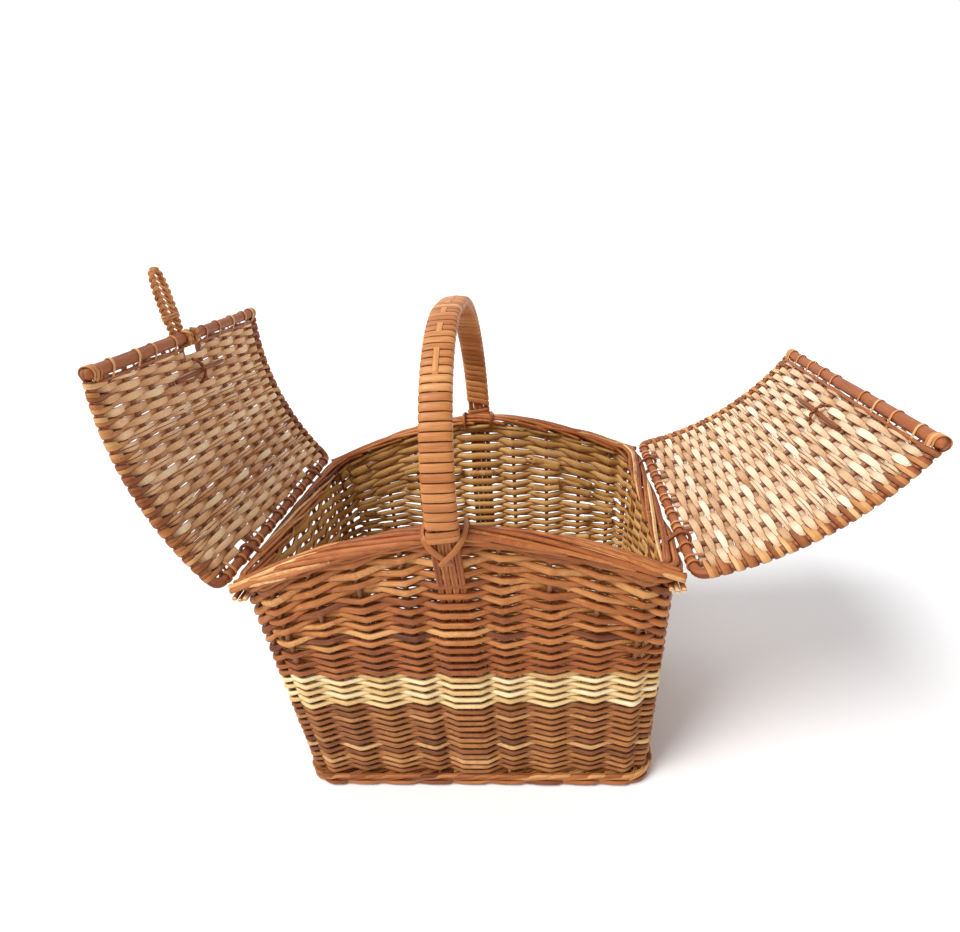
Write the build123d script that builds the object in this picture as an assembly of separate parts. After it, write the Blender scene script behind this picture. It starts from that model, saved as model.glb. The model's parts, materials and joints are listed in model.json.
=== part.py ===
from build123d import *
import os
from math import asin, atan2, cos, degrees, hypot, radians, sin

# A woven willow picnic basket with two hinged lids and a fixed hoop handle.
# Millimetres, +Z up.  The origin is on the floor, under the middle of the base.
# +X runs along the length, -Y is the front.  The lids are modelled standing open.

os.makedirs("parts", exist_ok=True)

# Basket body
BASE_HALF_LENGTH = 182.0      # outside of the weave at the floor
BASE_HALF_WIDTH = 124.0
RIM_HALF_LENGTH = 205.0       # outside of the weave at the rim's corners
RIM_HALF_WIDTH = 150.0
CORNER_HEIGHT = 262.0         # middle of the border at the corners
CROWN_HEIGHT = 318.0          # middle of the border in the middle of the long sides
CROWN_POWER = 1.7             # shape of the crown: 1 is a gable, 2 is a bow
CORNER_RADIUS = 28.0
WALL = 10.0                   # thickness of the weave
WALL_TOP = 345.0              # the walls are made this tall, then cut to the crown
WALE_TOP = 18.0               # heights where one kind of weaving stops
PALE_BAND_BOTTOM = 114.0
PALE_BAND_TOP = 154.0
WALE_PROUD = 2.5
WALE_INSET = 11.0             # the bottom ring is this thick inside the wall's outer face

# Border of rods along the rim
BORDER_PROUD = 3.5
BORDER_BELOW = 4.0
BORDER_ABOVE = 7.0
BORDER_CUT = 12.0             # depth of the ring that is cut down to the border
CROWN_POINTS = 13             # points along the spline of the rim

# Base
BASE_WEAVE_BOTTOM = 3.0
BASE_WEAVE_TOP = 12.0
BASE_STICK_RADIUS = 3.0
BASE_STICK_PITCH = 32.0
BASE_STICK_COUNT = 7
BASE_WEAVE_INSET = 12.0       # from the wall's outer face
BASE_STICK_INSET = 13.0

# Stakes: upright rods inside the weave, placed by where they reach the rim
STAKE_RADIUS = 2.5
CORNER_STAKE_RADIUS = 3.0
LONG_SIDE_STAKES = (44.0, 88.0, 132.0, 172.0)
SHORT_SIDE_STAKES = (0.0, 42.0, 84.0, 118.0)
STAKE_FOOT = 2.0

# Handle: four thick rods side by side, wrapped with cane above the rim
HANDLE_ROD_RADIUS = 3.25
HANDLE_ROD_PITCH = 6.7
HANDLE_WOVEN_TOP = 240.0      # below this the rods run inside the weave
HANDLE_RIM_Y = 166.0          # the legs pass outside the border here
HANDLE_TOP_Y = 173.0          # corner of the hoop before it is rounded
HANDLE_TOP_Z = 493.0
HANDLE_CROWN_RADIUS = 150.0
HANDLE_BEND_RADIUS = 120.0
WRAP_FOOT = 330.0
WRAP_WIDTH = 29.0
WRAP_DEPTH = 12.0
WRAP_CORNER_RADIUS = 5.0
WRAP_SLACK = 0.3              # room between the rods and the wrapping
LEADER_WIDTH = 7.0
LEADER_THICKNESS = 1.0
TIE_HALF_WIDTH = 20.5         # cane that ties each leg to the border
TIE_BAND = 5.0
TIE_THICKNESS = 1.8
TIE_GAP = 0.6                 # between the handle rods and the tie
TIE_RISE = 3.0                # the tie's front band ends this far above the border's middle

# Lids: bowed panels that turn on rods outside the two short borders
HINGE_X = 216.0
HINGE_Z = 271.0
FREE_X = 8.0                  # free edge rods of the closed lids, either side of the middle
FREE_Z = 333.5
LID_RISE = 20.0               # bow of the panel above its chord
HINGE_ROD_RADIUS = 5.0
FREE_ROD_RADIUS = 6.0
SIDE_ROD_RADIUS = 4.0
EDGE_WRAP_RADIUS = 5.0
LID_HALF_WIDTH = 159.5
HINGE_ROD_SHORT = 1.0         # the hinge rod stops this far inside the lid's side
LID_WEAVE_THICKNESS = 7.0
LID_WEAVE_FROM_HINGE = 13.0   # clears the hinge loops
LID_WEAVE_FROM_FREE = 7.5
RIB_RADIUS = 2.5
RIB_PITCH = 31.0
RIB_COUNT = 10
EDGE_WRAP_GAP = 8.0
LEFT_CHORD_ANGLE = 108.5      # chord of each standing lid, up from the inward horizontal
RIGHT_CHORD_ANGLE = 148.5
ROD_TIE_RADIUS = 7.2
ROD_TIE_WIDTH = 5.0
ROD_TIES = (-124.0, -93.0, -62.0, -31.0, 31.0, 62.0, 93.0, 124.0)
LASHING_RADIUS = 7.5
LASHING_WIDTH = 6.0

# Willow loops that hinge each lid to the border
LOOP_Y = 93.0
LOOP_CLEARANCE = 0.4
LOOP_THICKNESS = 4.0
LOOP_ROUNDING = 1.2
LOOP_ANCHOR_X = 203.0
LOOP_ANCHOR_Z = 261.0

# Closing rings and the plaited hasp
STAPLE_FROM_FREE = 38.0
STAPLE_RADIUS = 14.0
STAPLE_WIRE = 1.75
STAPLE_LIFT = 3.3             # the ring hangs on its rod, so it stands further out
STAPLE_ROD_RADIUS = 2.5
STAPLE_ROD_LENGTH = 96.0
STAPLE_ROD_GAP = 0.2
HASP_BORE = 6.3
HASP_RING_RADIUS = 9.5
HASP_THICKNESS = 7.0
HASP_LENGTH = 77.0
HASP_HALF_WIDTH = 11.2
HASP_SLIT_HALF_WIDTH = 2.2
HASP_SLIT = (30.0, 71.0)
HASP_LEAN = 6.0               # how far the hasp stands off the closed lids
HASP_BINDING = (22.0, 27.0)
HASP_BINDING_THICKNESS = 1.0
HASP_TIP_RADIUS = 9.0
HASP_NOTCH_HALF_WIDTH = 12.6
HASP_NOTCH = 18.0

CHORD = hypot(HINGE_X - FREE_X, FREE_Z - HINGE_Z)
CLOSED_ANGLE = degrees(atan2(FREE_Z - HINGE_Z, HINGE_X - FREE_X))
BOW_RADIUS = (CHORD ** 2 / 4 + LID_RISE ** 2) / (2 * LID_RISE)
BOW_HALF_ANGLE = degrees(asin(CHORD / 2 / BOW_RADIUS))
BOW_LENGTH = 2 * radians(BOW_HALF_ANGLE) * BOW_RADIUS


def save(name, shape):
    export_step(shape, "parts/" + name + ".step")


def rim_height(x):
    """Middle of the border above the floor, at a distance x along a long side."""
    share = min(abs(x) / RIM_HALF_LENGTH, 1.0)
    return CORNER_HEIGHT + (CROWN_HEIGHT - CORNER_HEIGHT) * (1 - share ** CROWN_POWER)


def half_size(z):
    """Outside half length and half width of the sloping walls at a height."""
    rise = z / CORNER_HEIGHT
    half_length = BASE_HALF_LENGTH + (RIM_HALF_LENGTH - BASE_HALF_LENGTH) * rise
    half_width = BASE_HALF_WIDTH + (RIM_HALF_WIDTH - BASE_HALF_WIDTH) * rise
    return half_length, half_width


def tapered_block(bottom, top, inset):
    faces = []
    for z in (bottom, top):
        half_length, half_width = half_size(z)
        outline = RectangleRounded(2 * (half_length - inset), 2 * (half_width - inset), CORNER_RADIUS - inset)
        faces.append((Pos(0, 0, z) * outline).face())
    return loft(faces)


def wall_ring(bottom, top, outer_inset, inner_inset):
    return tapered_block(bottom, top, outer_inset) - tapered_block(bottom, top, inner_inset)


def under_rim(offset):
    """Everything below the crowned rim, moved up by an offset."""
    reach = RIM_HALF_LENGTH + WALL_TOP - CROWN_HEIGHT
    last = CROWN_POINTS - 1
    places = [RIM_HALF_LENGTH * (2 * i / last - 1) for i in range(CROWN_POINTS)]
    crown = Spline(*[(x, rim_height(x) + offset) for x in places])
    shoulder = CORNER_HEIGHT + offset
    rest = Polyline(crown @ 1, (reach, shoulder), (reach, -WALL), (-reach, -WALL), (-reach, shoulder), crown @ 0)
    face = Plane.XZ * make_face([crown, rest])
    return extrude(face, amount=reach, both=True)


def straight_rod(start, end, radius):
    direction = Vector(*end) - Vector(*start)
    plane = Plane(origin=start, z_dir=direction)
    return extrude(plane * Circle(radius), amount=direction.length)


def leaning_stake(x_share, y_share, radius):
    """A stake in the middle of the weave, at a share of the wall's half length and width."""
    ends = []
    for z in (STAKE_FOOT, WALL_TOP):
        half_length, half_width = half_size(z)
        ends.append((x_share * (half_length - WALL / 2), y_share * (half_width - WALL / 2), z))
    return straight_rod(ends[0], ends[1], radius)


def make_side_stakes(below_rim):
    stakes = []
    for side in (-1, 1):
        for place in LONG_SIDE_STAKES:
            for end in (-1, 1):
                stakes.append(leaning_stake(end * place / (RIM_HALF_LENGTH - WALL / 2), side, STAKE_RADIUS))
        for place in SHORT_SIDE_STAKES:
            for end in (-1, 1) if place else (1,):
                stakes.append(leaning_stake(side, end * place / (RIM_HALF_WIDTH - WALL / 2), STAKE_RADIUS))
    return Compound([stake & below_rim for stake in stakes])


def make_corner_stakes(below_rim):
    setback = CORNER_RADIUS - WALL / 2
    stakes = []
    for x_side in (-1, 1):
        for y_side in (-1, 1):
            ends = []
            for z in (STAKE_FOOT, WALL_TOP):
                half_length, half_width = half_size(z)
                x = half_length - CORNER_RADIUS + setback * cos(radians(45))
                y = half_width - CORNER_RADIUS + setback * sin(radians(45))
                ends.append((x_side * x, y_side * y, z))
            stakes.append(straight_rod(ends[0], ends[1], CORNER_STAKE_RADIUS) & below_rim)
    return Compound(stakes)


def make_base_sticks():
    half_length = BASE_HALF_LENGTH - BASE_STICK_INSET
    z = (BASE_WEAVE_BOTTOM + BASE_WEAVE_TOP) / 2
    sticks = []
    for i in range(BASE_STICK_COUNT):
        y = BASE_STICK_PITCH * (i - (BASE_STICK_COUNT - 1) / 2)
        sticks.append(straight_rod((-half_length, y, z), (half_length, y, z), BASE_STICK_RADIUS))
    return Compound(sticks)


def handle_path(points, radii, x):
    return FilletPolyline(*[(x, y, z) for y, z in points], radius=radii)


def handle_route():
    """Corners of the whole handle rod, from the foot of one leg over the top to the other."""
    foot_y = half_size(STAKE_FOOT)[1] - WALL / 2
    woven_y = half_size(HANDLE_WOVEN_TOP)[1] - WALL / 2
    leg = [(foot_y, STAKE_FOOT), (woven_y, HANDLE_WOVEN_TOP), (HANDLE_RIM_Y, CROWN_HEIGHT)]
    leg.append((HANDLE_TOP_Y, HANDLE_TOP_Z))
    other = [(-y, z) for y, z in reversed(leg)]
    bends = [HANDLE_BEND_RADIUS, HANDLE_BEND_RADIUS, HANDLE_CROWN_RADIUS]
    return leg + other, bends + bends[::-1]


def make_handle_rods():
    points, radii = handle_route()
    rods = []
    for i in range(4):
        path = handle_path(points, radii, HANDLE_ROD_PITCH * (i - 1.5))
        section = Plane(origin=path @ 0, z_dir=path % 0) * Circle(HANDLE_ROD_RADIUS)
        rods.append(sweep(section, path=path).solid())
    return Compound(rods)


def hoop_sweep(section_on):
    """Sweep a section along the wrapped part of the handle, above the rim."""
    share = (WRAP_FOOT - CROWN_HEIGHT) / (HANDLE_TOP_Z - CROWN_HEIGHT)
    foot_y = HANDLE_RIM_Y + share * (HANDLE_TOP_Y - HANDLE_RIM_Y)
    points = [(foot_y, WRAP_FOOT), (HANDLE_TOP_Y, HANDLE_TOP_Z), (-HANDLE_TOP_Y, HANDLE_TOP_Z), (-foot_y, WRAP_FOOT)]
    path = handle_path(points, [HANDLE_CROWN_RADIUS, HANDLE_CROWN_RADIUS], 0)
    plane = Plane(origin=path @ 0, x_dir=(1, 0, 0), z_dir=path % 0)
    return sweep(section_on(plane), path=path)


def make_handle_wrap():
    inner_width = 3 * HANDLE_ROD_PITCH + 2 * HANDLE_ROD_RADIUS + WRAP_SLACK
    inner_depth = 2 * HANDLE_ROD_RADIUS + WRAP_SLACK
    outer = RectangleRounded(WRAP_WIDTH, WRAP_DEPTH, WRAP_CORNER_RADIUS)
    inner = RectangleRounded(inner_width, inner_depth, HANDLE_ROD_RADIUS)
    return hoop_sweep(lambda plane: plane * (outer - inner))


def make_handle_leader():
    """A flat cane that runs over the outside of the wrapping."""
    shift = (WRAP_DEPTH + LEADER_THICKNESS) / 2
    up = hoop_sweep(lambda plane: plane * Pos(0, -shift) * Rectangle(LEADER_WIDTH, LEADER_THICKNESS))
    down = hoop_sweep(lambda plane: plane * Pos(0, shift) * Rectangle(LEADER_WIDTH, LEADER_THICKNESS))
    return up if up.bounding_box().max.Z > down.bounding_box().max.Z else down


def box_between(low, high):
    size = [b - a for a, b in zip(low, high)]
    middle = [(a + b) / 2 for a, b in zip(low, high)]
    return Pos(*middle) * Box(*size)


def make_handle_tie(side, border, rods):
    """Cane round the border on both sides of a leg, joined across the leg's front."""
    wall_y = half_size(CROWN_HEIGHT)[1]
    inner_y = wall_y - WALL - BORDER_PROUD - TIE_THICKNESS
    border_y = wall_y + BORDER_PROUD + TIE_THICKNESS
    low_z = CROWN_HEIGHT - BORDER_BELOW - 2 * TIE_THICKNESS
    high_z = CROWN_HEIGHT + BORDER_ABOVE + TIE_THICKNESS
    band_z = CROWN_HEIGHT + TIE_RISE
    front_y = HANDLE_RIM_Y + HANDLE_ROD_RADIUS + TIE_GAP
    outer_y = front_y + TIE_THICKNESS
    tie = box_between((-TIE_HALF_WIDTH, front_y, low_z), (TIE_HALF_WIDTH, outer_y, band_z))
    for end in (-1, 1):
        xs = sorted((end * TIE_HALF_WIDTH, end * (TIE_HALF_WIDTH - TIE_BAND)))
        tie += box_between((xs[0], border_y - TIE_GAP, low_z), (xs[1], outer_y, band_z))
        tie += box_between((xs[0], inner_y, low_z), (xs[1], border_y, high_z))
    if side < 0:
        tie = mirror(tie, about=Plane.XZ)
    return tie - border - rods


def make_hinge_loops(side):
    """Two stiff willow rings, each round the hinge rod and through the border."""
    inner_radius = HINGE_ROD_RADIUS + LOOP_CLEARANCE
    span = hypot(HINGE_X - LOOP_ANCHOR_X, HINGE_Z - LOOP_ANCHOR_Z)
    slope = degrees(atan2(HINGE_Z - LOOP_ANCHOR_Z, side * (HINGE_X - LOOP_ANCHOR_X)))
    outer = SlotCenterToCenter(span, 2 * (inner_radius + LOOP_THICKNESS))
    inner = SlotCenterToCenter(span, 2 * inner_radius)
    ring = extrude(outer - inner, amount=LOOP_THICKNESS / 2, both=True)
    rim_edges = ring.edges().filter_by(Plane.XY)
    ring = fillet(rim_edges, LOOP_ROUNDING)
    middle_x = side * (HINGE_X + LOOP_ANCHOR_X) / 2
    middle_z = (HINGE_Z + LOOP_ANCHOR_Z) / 2
    loops = []
    for y in (-LOOP_Y, LOOP_Y):
        loops.append(Pos(middle_x, y, middle_z) * Rot(90, 0, 0) * Rot(0, 0, slope) * ring)
    return Compound(loops)


# A lid is built with the axis of its bow along Y through the origin: the hinge rod lies at
# minus the bow's half angle from the vertical and the free edge rod at plus the half angle.


def on_bow(angle, radius=BOW_RADIUS):
    return radius * sin(radians(angle)), radius * cos(radians(angle))


def bow_angle(distance):
    return degrees(distance / BOW_RADIUS)


def bow_sweep(section, from_hinge, from_free):
    """Turn a section about the bow's axis, between distances from the hinge and free rods."""
    start = -BOW_HALF_ANGLE + bow_angle(from_hinge)
    end = BOW_HALF_ANGLE - bow_angle(from_free)
    swept = revolve(Plane.YZ * section, axis=Axis.Y, revolution_arc=end - start)
    return Rot(0, start, 0) * swept


def between_rods(section):
    return bow_sweep(section, HINGE_ROD_RADIUS, FREE_ROD_RADIUS)


def cross_rod(angle, radius, low_y, high_y, lift=0.0):
    x, z = on_bow(angle, BOW_RADIUS + lift)
    return straight_rod((x, low_y, z), (x, high_y, z), radius)


def make_lid(has_hasp):
    """All pieces of one lid, by name, about the bow's axis."""
    half = LID_HALF_WIDTH
    hinge_half = half - HINGE_ROD_SHORT
    hinge_rod = cross_rod(-BOW_HALF_ANGLE, HINGE_ROD_RADIUS, -hinge_half, hinge_half)
    free_rod = cross_rod(BOW_HALF_ANGLE, FREE_ROD_RADIUS, -half, half)

    side_y = half - EDGE_WRAP_RADIUS
    side_rods = []
    edge_wraps = []
    for y in (-side_y, side_y):
        side_rods.append(between_rods(Pos(y, BOW_RADIUS) * Circle(SIDE_ROD_RADIUS)))
        sleeve = Circle(EDGE_WRAP_RADIUS) - Circle(SIDE_ROD_RADIUS)
        edge_wraps.append(bow_sweep(Pos(y, BOW_RADIUS) * sleeve, EDGE_WRAP_GAP, EDGE_WRAP_GAP))

    rib_places = [RIB_PITCH * (i - (RIB_COUNT - 1) / 2) for i in range(RIB_COUNT)]
    ribs = [between_rods(Pos(y, BOW_RADIUS) * Circle(RIB_RADIUS)) for y in rib_places]

    panel_width = 2 * (side_y - EDGE_WRAP_RADIUS)
    panel_section = Pos(0, BOW_RADIUS) * Rectangle(panel_width, LID_WEAVE_THICKNESS)
    weave = bow_sweep(panel_section, LID_WEAVE_FROM_HINGE, LID_WEAVE_FROM_FREE)
    if has_hasp:
        notch_section = Pos(0, BOW_RADIUS) * Rectangle(2 * HASP_NOTCH_HALF_WIDTH, 2 * LID_WEAVE_THICKNESS)
        weave -= bow_sweep(notch_section, BOW_LENGTH - HASP_NOTCH, 0)

    staple_angle = BOW_HALF_ANGLE - bow_angle(STAPLE_FROM_FREE)
    staple_x, staple_z = on_bow(staple_angle, BOW_RADIUS + STAPLE_LIFT)
    staple_ring = Pos(staple_x, 0, staple_z) * Rot(90, 0, 0) * Torus(STAPLE_RADIUS, STAPLE_WIRE)
    rod_drop = -(LID_WEAVE_THICKNESS / 2 + STAPLE_ROD_RADIUS + STAPLE_ROD_GAP)
    half_rod = STAPLE_ROD_LENGTH / 2
    staple_rod = cross_rod(staple_angle, STAPLE_ROD_RADIUS, -half_rod, half_rod, rod_drop)
    weave = weave - ribs - staple_ring

    rod_ties = []
    for y in ROD_TIES:
        ring = cross_rod(BOW_HALF_ANGLE, ROD_TIE_RADIUS, y - ROD_TIE_WIDTH / 2, y + ROD_TIE_WIDTH / 2)
        rod_ties.append(ring - free_rod)
    lashings = []
    for y_side in (-1, 1):
        outer_y = side_y - EDGE_WRAP_RADIUS
        ys = sorted((y_side * outer_y, y_side * (outer_y - LASHING_WIDTH)))
        lashings.append(cross_rod(BOW_HALF_ANGLE, LASHING_RADIUS, ys[0], ys[1]) - free_rod)

    return {
        "hinge_rod": hinge_rod,
        "free_edge_rod": free_rod,
        "side_rods": Compound([rod.solid() for rod in side_rods]),
        "edge_wraps": Compound([wrap.solid() for wrap in edge_wraps]),
        "ribs": Compound([rib.solid() for rib in ribs]),
        "lid_weave": weave,
        "rod_ties": Compound([tie.solid() for tie in rod_ties]),
        "corner_lashings": Compound([lashing.solid() for lashing in lashings]),
        "staple_ring": staple_ring,
        "staple_rod": staple_rod,
    }


def place_lid(shape, side, chord_angle):
    """Stand a lid up at its hinge, its chord raised from the inward horizontal."""
    hinge_x, hinge_z = on_bow(-BOW_HALF_ANGLE)
    placed = Pos(-HINGE_X, 0, HINGE_Z) * Rot(0, -chord_angle, 0) * Pos(-hinge_x, 0, -hinge_z) * shape
    return Rot(0, 0, 180) * placed if side > 0 else placed


def make_hasp():
    """The plaited hasp and its binding, lying along +X over a free edge rod at the origin."""
    half = HASP_HALF_WIDTH
    top = HASP_BORE + HASP_THICKNESS
    ring = straight_rod((0, -half, 0), (0, half, 0), HASP_RING_RADIUS)
    tongue = box_between((0, -half, HASP_BORE), (HASP_LENGTH, half, top))
    tip = tongue.edges().filter_by(Axis.Z).group_by(Axis.X)[-1]
    tongue = fillet(tip, HASP_TIP_RADIUS)
    slit = box_between((HASP_SLIT[0], -HASP_SLIT_HALF_WIDTH, 0), (HASP_SLIT[1], HASP_SLIT_HALF_WIDTH, 2 * top))
    bore = straight_rod((0, -2 * half, 0), (0, 2 * half, 0), HASP_BORE)
    plait = ring + tongue - slit - bore
    skin = HASP_BINDING_THICKNESS
    low = (HASP_BINDING[0], -half - skin, HASP_BORE - skin)
    high = (HASP_BINDING[1], half + skin, top + skin)
    binding = box_between(low, high) - plait
    return plait, binding


def place_hasp(shape):
    """Move the hasp from the origin onto the standing left lid."""
    closed = Pos(-FREE_X, 0, FREE_Z) * Rot(0, -HASP_LEAN, 0) * shape
    opened = LEFT_CHORD_ANGLE - CLOSED_ANGLE
    return Pos(-HINGE_X, 0, HINGE_Z) * Rot(0, -opened, 0) * Pos(HINGE_X, 0, -HINGE_Z) * closed


# Basket body
weave_limit = under_rim(-BORDER_BELOW)
side_stakes = make_side_stakes(weave_limit)
corner_stakes = make_corner_stakes(weave_limit)
handle_rods = make_handle_rods()
base_sticks = make_base_sticks()
base_weave = tapered_block(BASE_WEAVE_BOTTOM, BASE_WEAVE_TOP, BASE_WEAVE_INSET) - base_sticks

uprights = list(side_stakes.solids()) + list(corner_stakes.solids()) + list(handle_rods.solids())
border = wall_ring(CORNER_HEIGHT - BORDER_CUT, WALL_TOP, -BORDER_PROUD, WALL + BORDER_PROUD)
border = (border & under_rim(BORDER_ABOVE)) - weave_limit
left_loops = make_hinge_loops(-1)
right_loops = make_hinge_loops(1)
loops = list(left_loops.solids()) + list(right_loops.solids())
border = border - loops
front_tie = make_handle_tie(-1, border, handle_rods)
rear_tie = make_handle_tie(1, border, handle_rods)

upper_weave = wall_ring(PALE_BAND_TOP, WALL_TOP, 0, WALL) & weave_limit
upper_weave = upper_weave - uprights - loops - [front_tie, rear_tie]

save("base_sticks", base_sticks)
save("base_weave", base_weave)
save("bottom_wale", wall_ring(0, WALE_TOP, -WALE_PROUD, WALE_INSET) - uprights)
save("lower_weave", wall_ring(WALE_TOP, PALE_BAND_BOTTOM, 0, WALL) - uprights)
save("pale_band", wall_ring(PALE_BAND_BOTTOM, PALE_BAND_TOP, 0, WALL) - uprights)
save("upper_weave", upper_weave)
save("side_stakes", side_stakes)
save("corner_stakes", corner_stakes)
save("border_rods", border)
save("handle_rods", handle_rods)
save("handle_wrap", make_handle_wrap())
save("handle_leader", make_handle_leader())
save("front_handle_tie", front_tie)
save("rear_handle_tie", rear_tie)
save("left_hinge_loops", left_loops)
save("right_hinge_loops", right_loops)

# Lids
for lid_name, side, chord_angle in (("left", -1, LEFT_CHORD_ANGLE), ("right", 1, RIGHT_CHORD_ANGLE)):
    for piece_name, shape in make_lid(has_hasp=side < 0).items():
        save(lid_name + "_" + piece_name, place_lid(shape, side, chord_angle))

hasp_plait, hasp_binding = make_hasp()
save("hasp_plait", place_hasp(hasp_plait))
save("hasp_binding", place_hasp(hasp_binding))
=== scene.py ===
import json
import math

import bpy
import numpy as np
from mathutils import Matrix, Vector


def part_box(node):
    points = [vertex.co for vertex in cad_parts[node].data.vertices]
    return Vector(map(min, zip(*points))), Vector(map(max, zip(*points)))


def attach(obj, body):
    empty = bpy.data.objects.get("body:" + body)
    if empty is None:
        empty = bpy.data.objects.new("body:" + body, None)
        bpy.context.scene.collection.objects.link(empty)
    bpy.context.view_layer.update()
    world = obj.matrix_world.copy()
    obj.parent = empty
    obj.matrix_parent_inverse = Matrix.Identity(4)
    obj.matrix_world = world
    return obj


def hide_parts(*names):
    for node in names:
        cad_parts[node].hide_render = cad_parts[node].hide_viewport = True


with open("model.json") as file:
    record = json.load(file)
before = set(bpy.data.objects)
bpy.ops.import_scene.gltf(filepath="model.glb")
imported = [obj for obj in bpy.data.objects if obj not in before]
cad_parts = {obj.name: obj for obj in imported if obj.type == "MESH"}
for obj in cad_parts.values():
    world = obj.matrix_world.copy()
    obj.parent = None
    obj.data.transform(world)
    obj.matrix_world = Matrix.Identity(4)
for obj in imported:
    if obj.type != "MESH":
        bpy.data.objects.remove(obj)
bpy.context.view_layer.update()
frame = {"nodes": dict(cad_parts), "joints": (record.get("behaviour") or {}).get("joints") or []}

# A woven willow picnic basket.  Every rod, skein and cane is a strand: a centre line with a
# width, a thickness and a facing direction.  Metres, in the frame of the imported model.

MM = 0.001
RANDOM = np.random.default_rng(41)
CUT_TONE = 0.97                     # of the pale ends of cut rods


# ---------------------------------------------------------------- strands and meshes

class Bundle:
    """Strands that become one mesh.

    Each point keeps three values for the materials: tone (which rod it is on), face (1 on the
    side that faces outward, -1 on the back), and grain (a place on the rod, for streaks that
    run along it)."""

    def __init__(self):
        self.points, self.quads, self.caps = [], [], []
        self.tone, self.face, self.grain = [], [], []
        self.size = 0

    def strand(self, line, wide, thick, facing, tone, sides=8, closed=False, square=1.0):
        """Add a strand.  wide and thick are half sizes; square under 1 makes its section boxier."""
        line = np.asarray(line, float)
        count = len(line)
        ahead = unit(np.roll(line, -1, 0) - np.roll(line, 1, 0) if closed else np.gradient(line, axis=0))
        facing = np.broadcast_to(np.asarray(facing, float), line.shape)
        side = unit(np.cross(ahead, facing))
        up = np.cross(side, ahead)
        turn = 2 * math.pi * np.arange(sides) / sides
        across, out = signed_power(np.cos(turn), square), signed_power(np.sin(turn), square)
        wide = np.broadcast_to(np.asarray(wide, float), (count,))
        thick = np.broadcast_to(np.asarray(thick, float), (count,))
        points = (line[:, None] + side[:, None] * (wide[:, None] * across)[..., None]
                  + up[:, None] * (thick[:, None] * out)[..., None])
        step = np.r_[0, np.cumsum(np.linalg.norm(np.diff(line, axis=0), axis=1))]
        tone = np.broadcast_to(np.asarray(tone, float), (count,))
        grain = np.empty((count, sides, 3))
        grain[..., 0] = step[:, None] + 3.7 * tone[:, None]
        grain[..., 1] = wide[:, None] * across
        grain[..., 2] = thick[:, None] * out
        rings = count if closed else count - 1
        row = np.arange(rings)[:, None]
        next_row = (row + 1) % count
        col = np.arange(sides)[None]
        next_col = (col + 1) % sides
        quads = np.stack([row * sides + col, next_row * sides + col,
                          next_row * sides + next_col, row * sides + next_col], -1).reshape(-1, 4)
        self.quads.append(quads + self.size)
        if not closed:
            self.caps.append(self.size + np.arange(sides))
            self.caps.append(self.size + (count - 1) * sides + np.arange(sides)[::-1])
        self.points.append(points.reshape(-1, 3))
        self.tone.append(np.repeat(tone, sides))
        self.face.append(np.tile(out, count))
        self.grain.append(grain.reshape(-1, 3))
        self.size += count * sides

    def cut_end(self, line, radius, facing):
        """A pale cut face on the end of a round strand."""
        ahead = unit(line[-1] - line[-2])
        tip = np.stack([line[-1] - ahead * 0.4 * MM, line[-1] + ahead * 0.25 * MM])
        self.strand(tip, radius * 0.93, radius * 0.93, facing, CUT_TONE, 9)

    def build(self, name, material, body, slot, *nodes):
        """Make the piece, which stands in for the model's nodes if any are named."""
        points = np.concatenate(self.points)
        quads = np.concatenate(self.quads)
        loops = np.concatenate([quads.ravel()] + self.caps)
        sizes = np.r_[np.full(len(quads), 4), [len(cap) for cap in self.caps]].astype(int)
        mesh = bpy.data.meshes.new(name)
        mesh.vertices.add(len(points))
        mesh.vertices.foreach_set("co", points.ravel())
        mesh.loops.add(len(loops))
        mesh.loops.foreach_set("vertex_index", loops.astype(np.int32))
        mesh.polygons.add(len(sizes))
        mesh.polygons.foreach_set("loop_start", np.r_[0, np.cumsum(sizes)[:-1]].astype(np.int32))
        mesh.polygons.foreach_set("use_smooth", np.arange(len(sizes)) < len(quads))
        for label, values in (("tone", self.tone), ("face", self.face)):
            data = mesh.attributes.new(label, "FLOAT", "POINT").data
            data.foreach_set("value", np.concatenate(values))
        data = mesh.attributes.new("grain", "FLOAT_VECTOR", "POINT").data
        data.foreach_set("vector", np.concatenate(self.grain).ravel())
        mesh.update(calc_edges=True)
        mesh.validate()
        mesh.materials.append(material)
        piece = bpy.data.objects.new(name, mesh)
        bpy.context.collection.objects.link(piece)
        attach(piece, body)
        if nodes:
            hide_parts(*nodes)


def unit(vectors):
    """The same vectors with a length of 1."""
    return vectors / np.linalg.norm(vectors, axis=-1, keepdims=True)


def signed_power(values, power):
    """Values raised to a power with their signs kept.  A power under 1 makes an oval boxier."""
    return np.sign(values) * np.abs(values) ** power


def smooth(value, low, high):
    """0 below low, 1 above high, and a smooth step between."""
    share = np.clip((value - low) / (high - low), 0, 1)
    return share * share * (3 - 2 * share)


def node_box(node):
    """The low and high corners of one of the model's nodes."""
    return [np.array(corner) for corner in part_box(node)]


def wander(places, reach, amount, waves=3):
    """A gentle random wave along a strand."""
    total = np.zeros_like(places)
    for _ in range(waves):
        length = reach * RANDOM.uniform(0.5, 1.6)
        total += RANDOM.normal() * np.sin(places / length * 2 * math.pi + RANDOM.uniform(0, 6.28))
    return amount * total / math.sqrt(waves)


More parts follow.
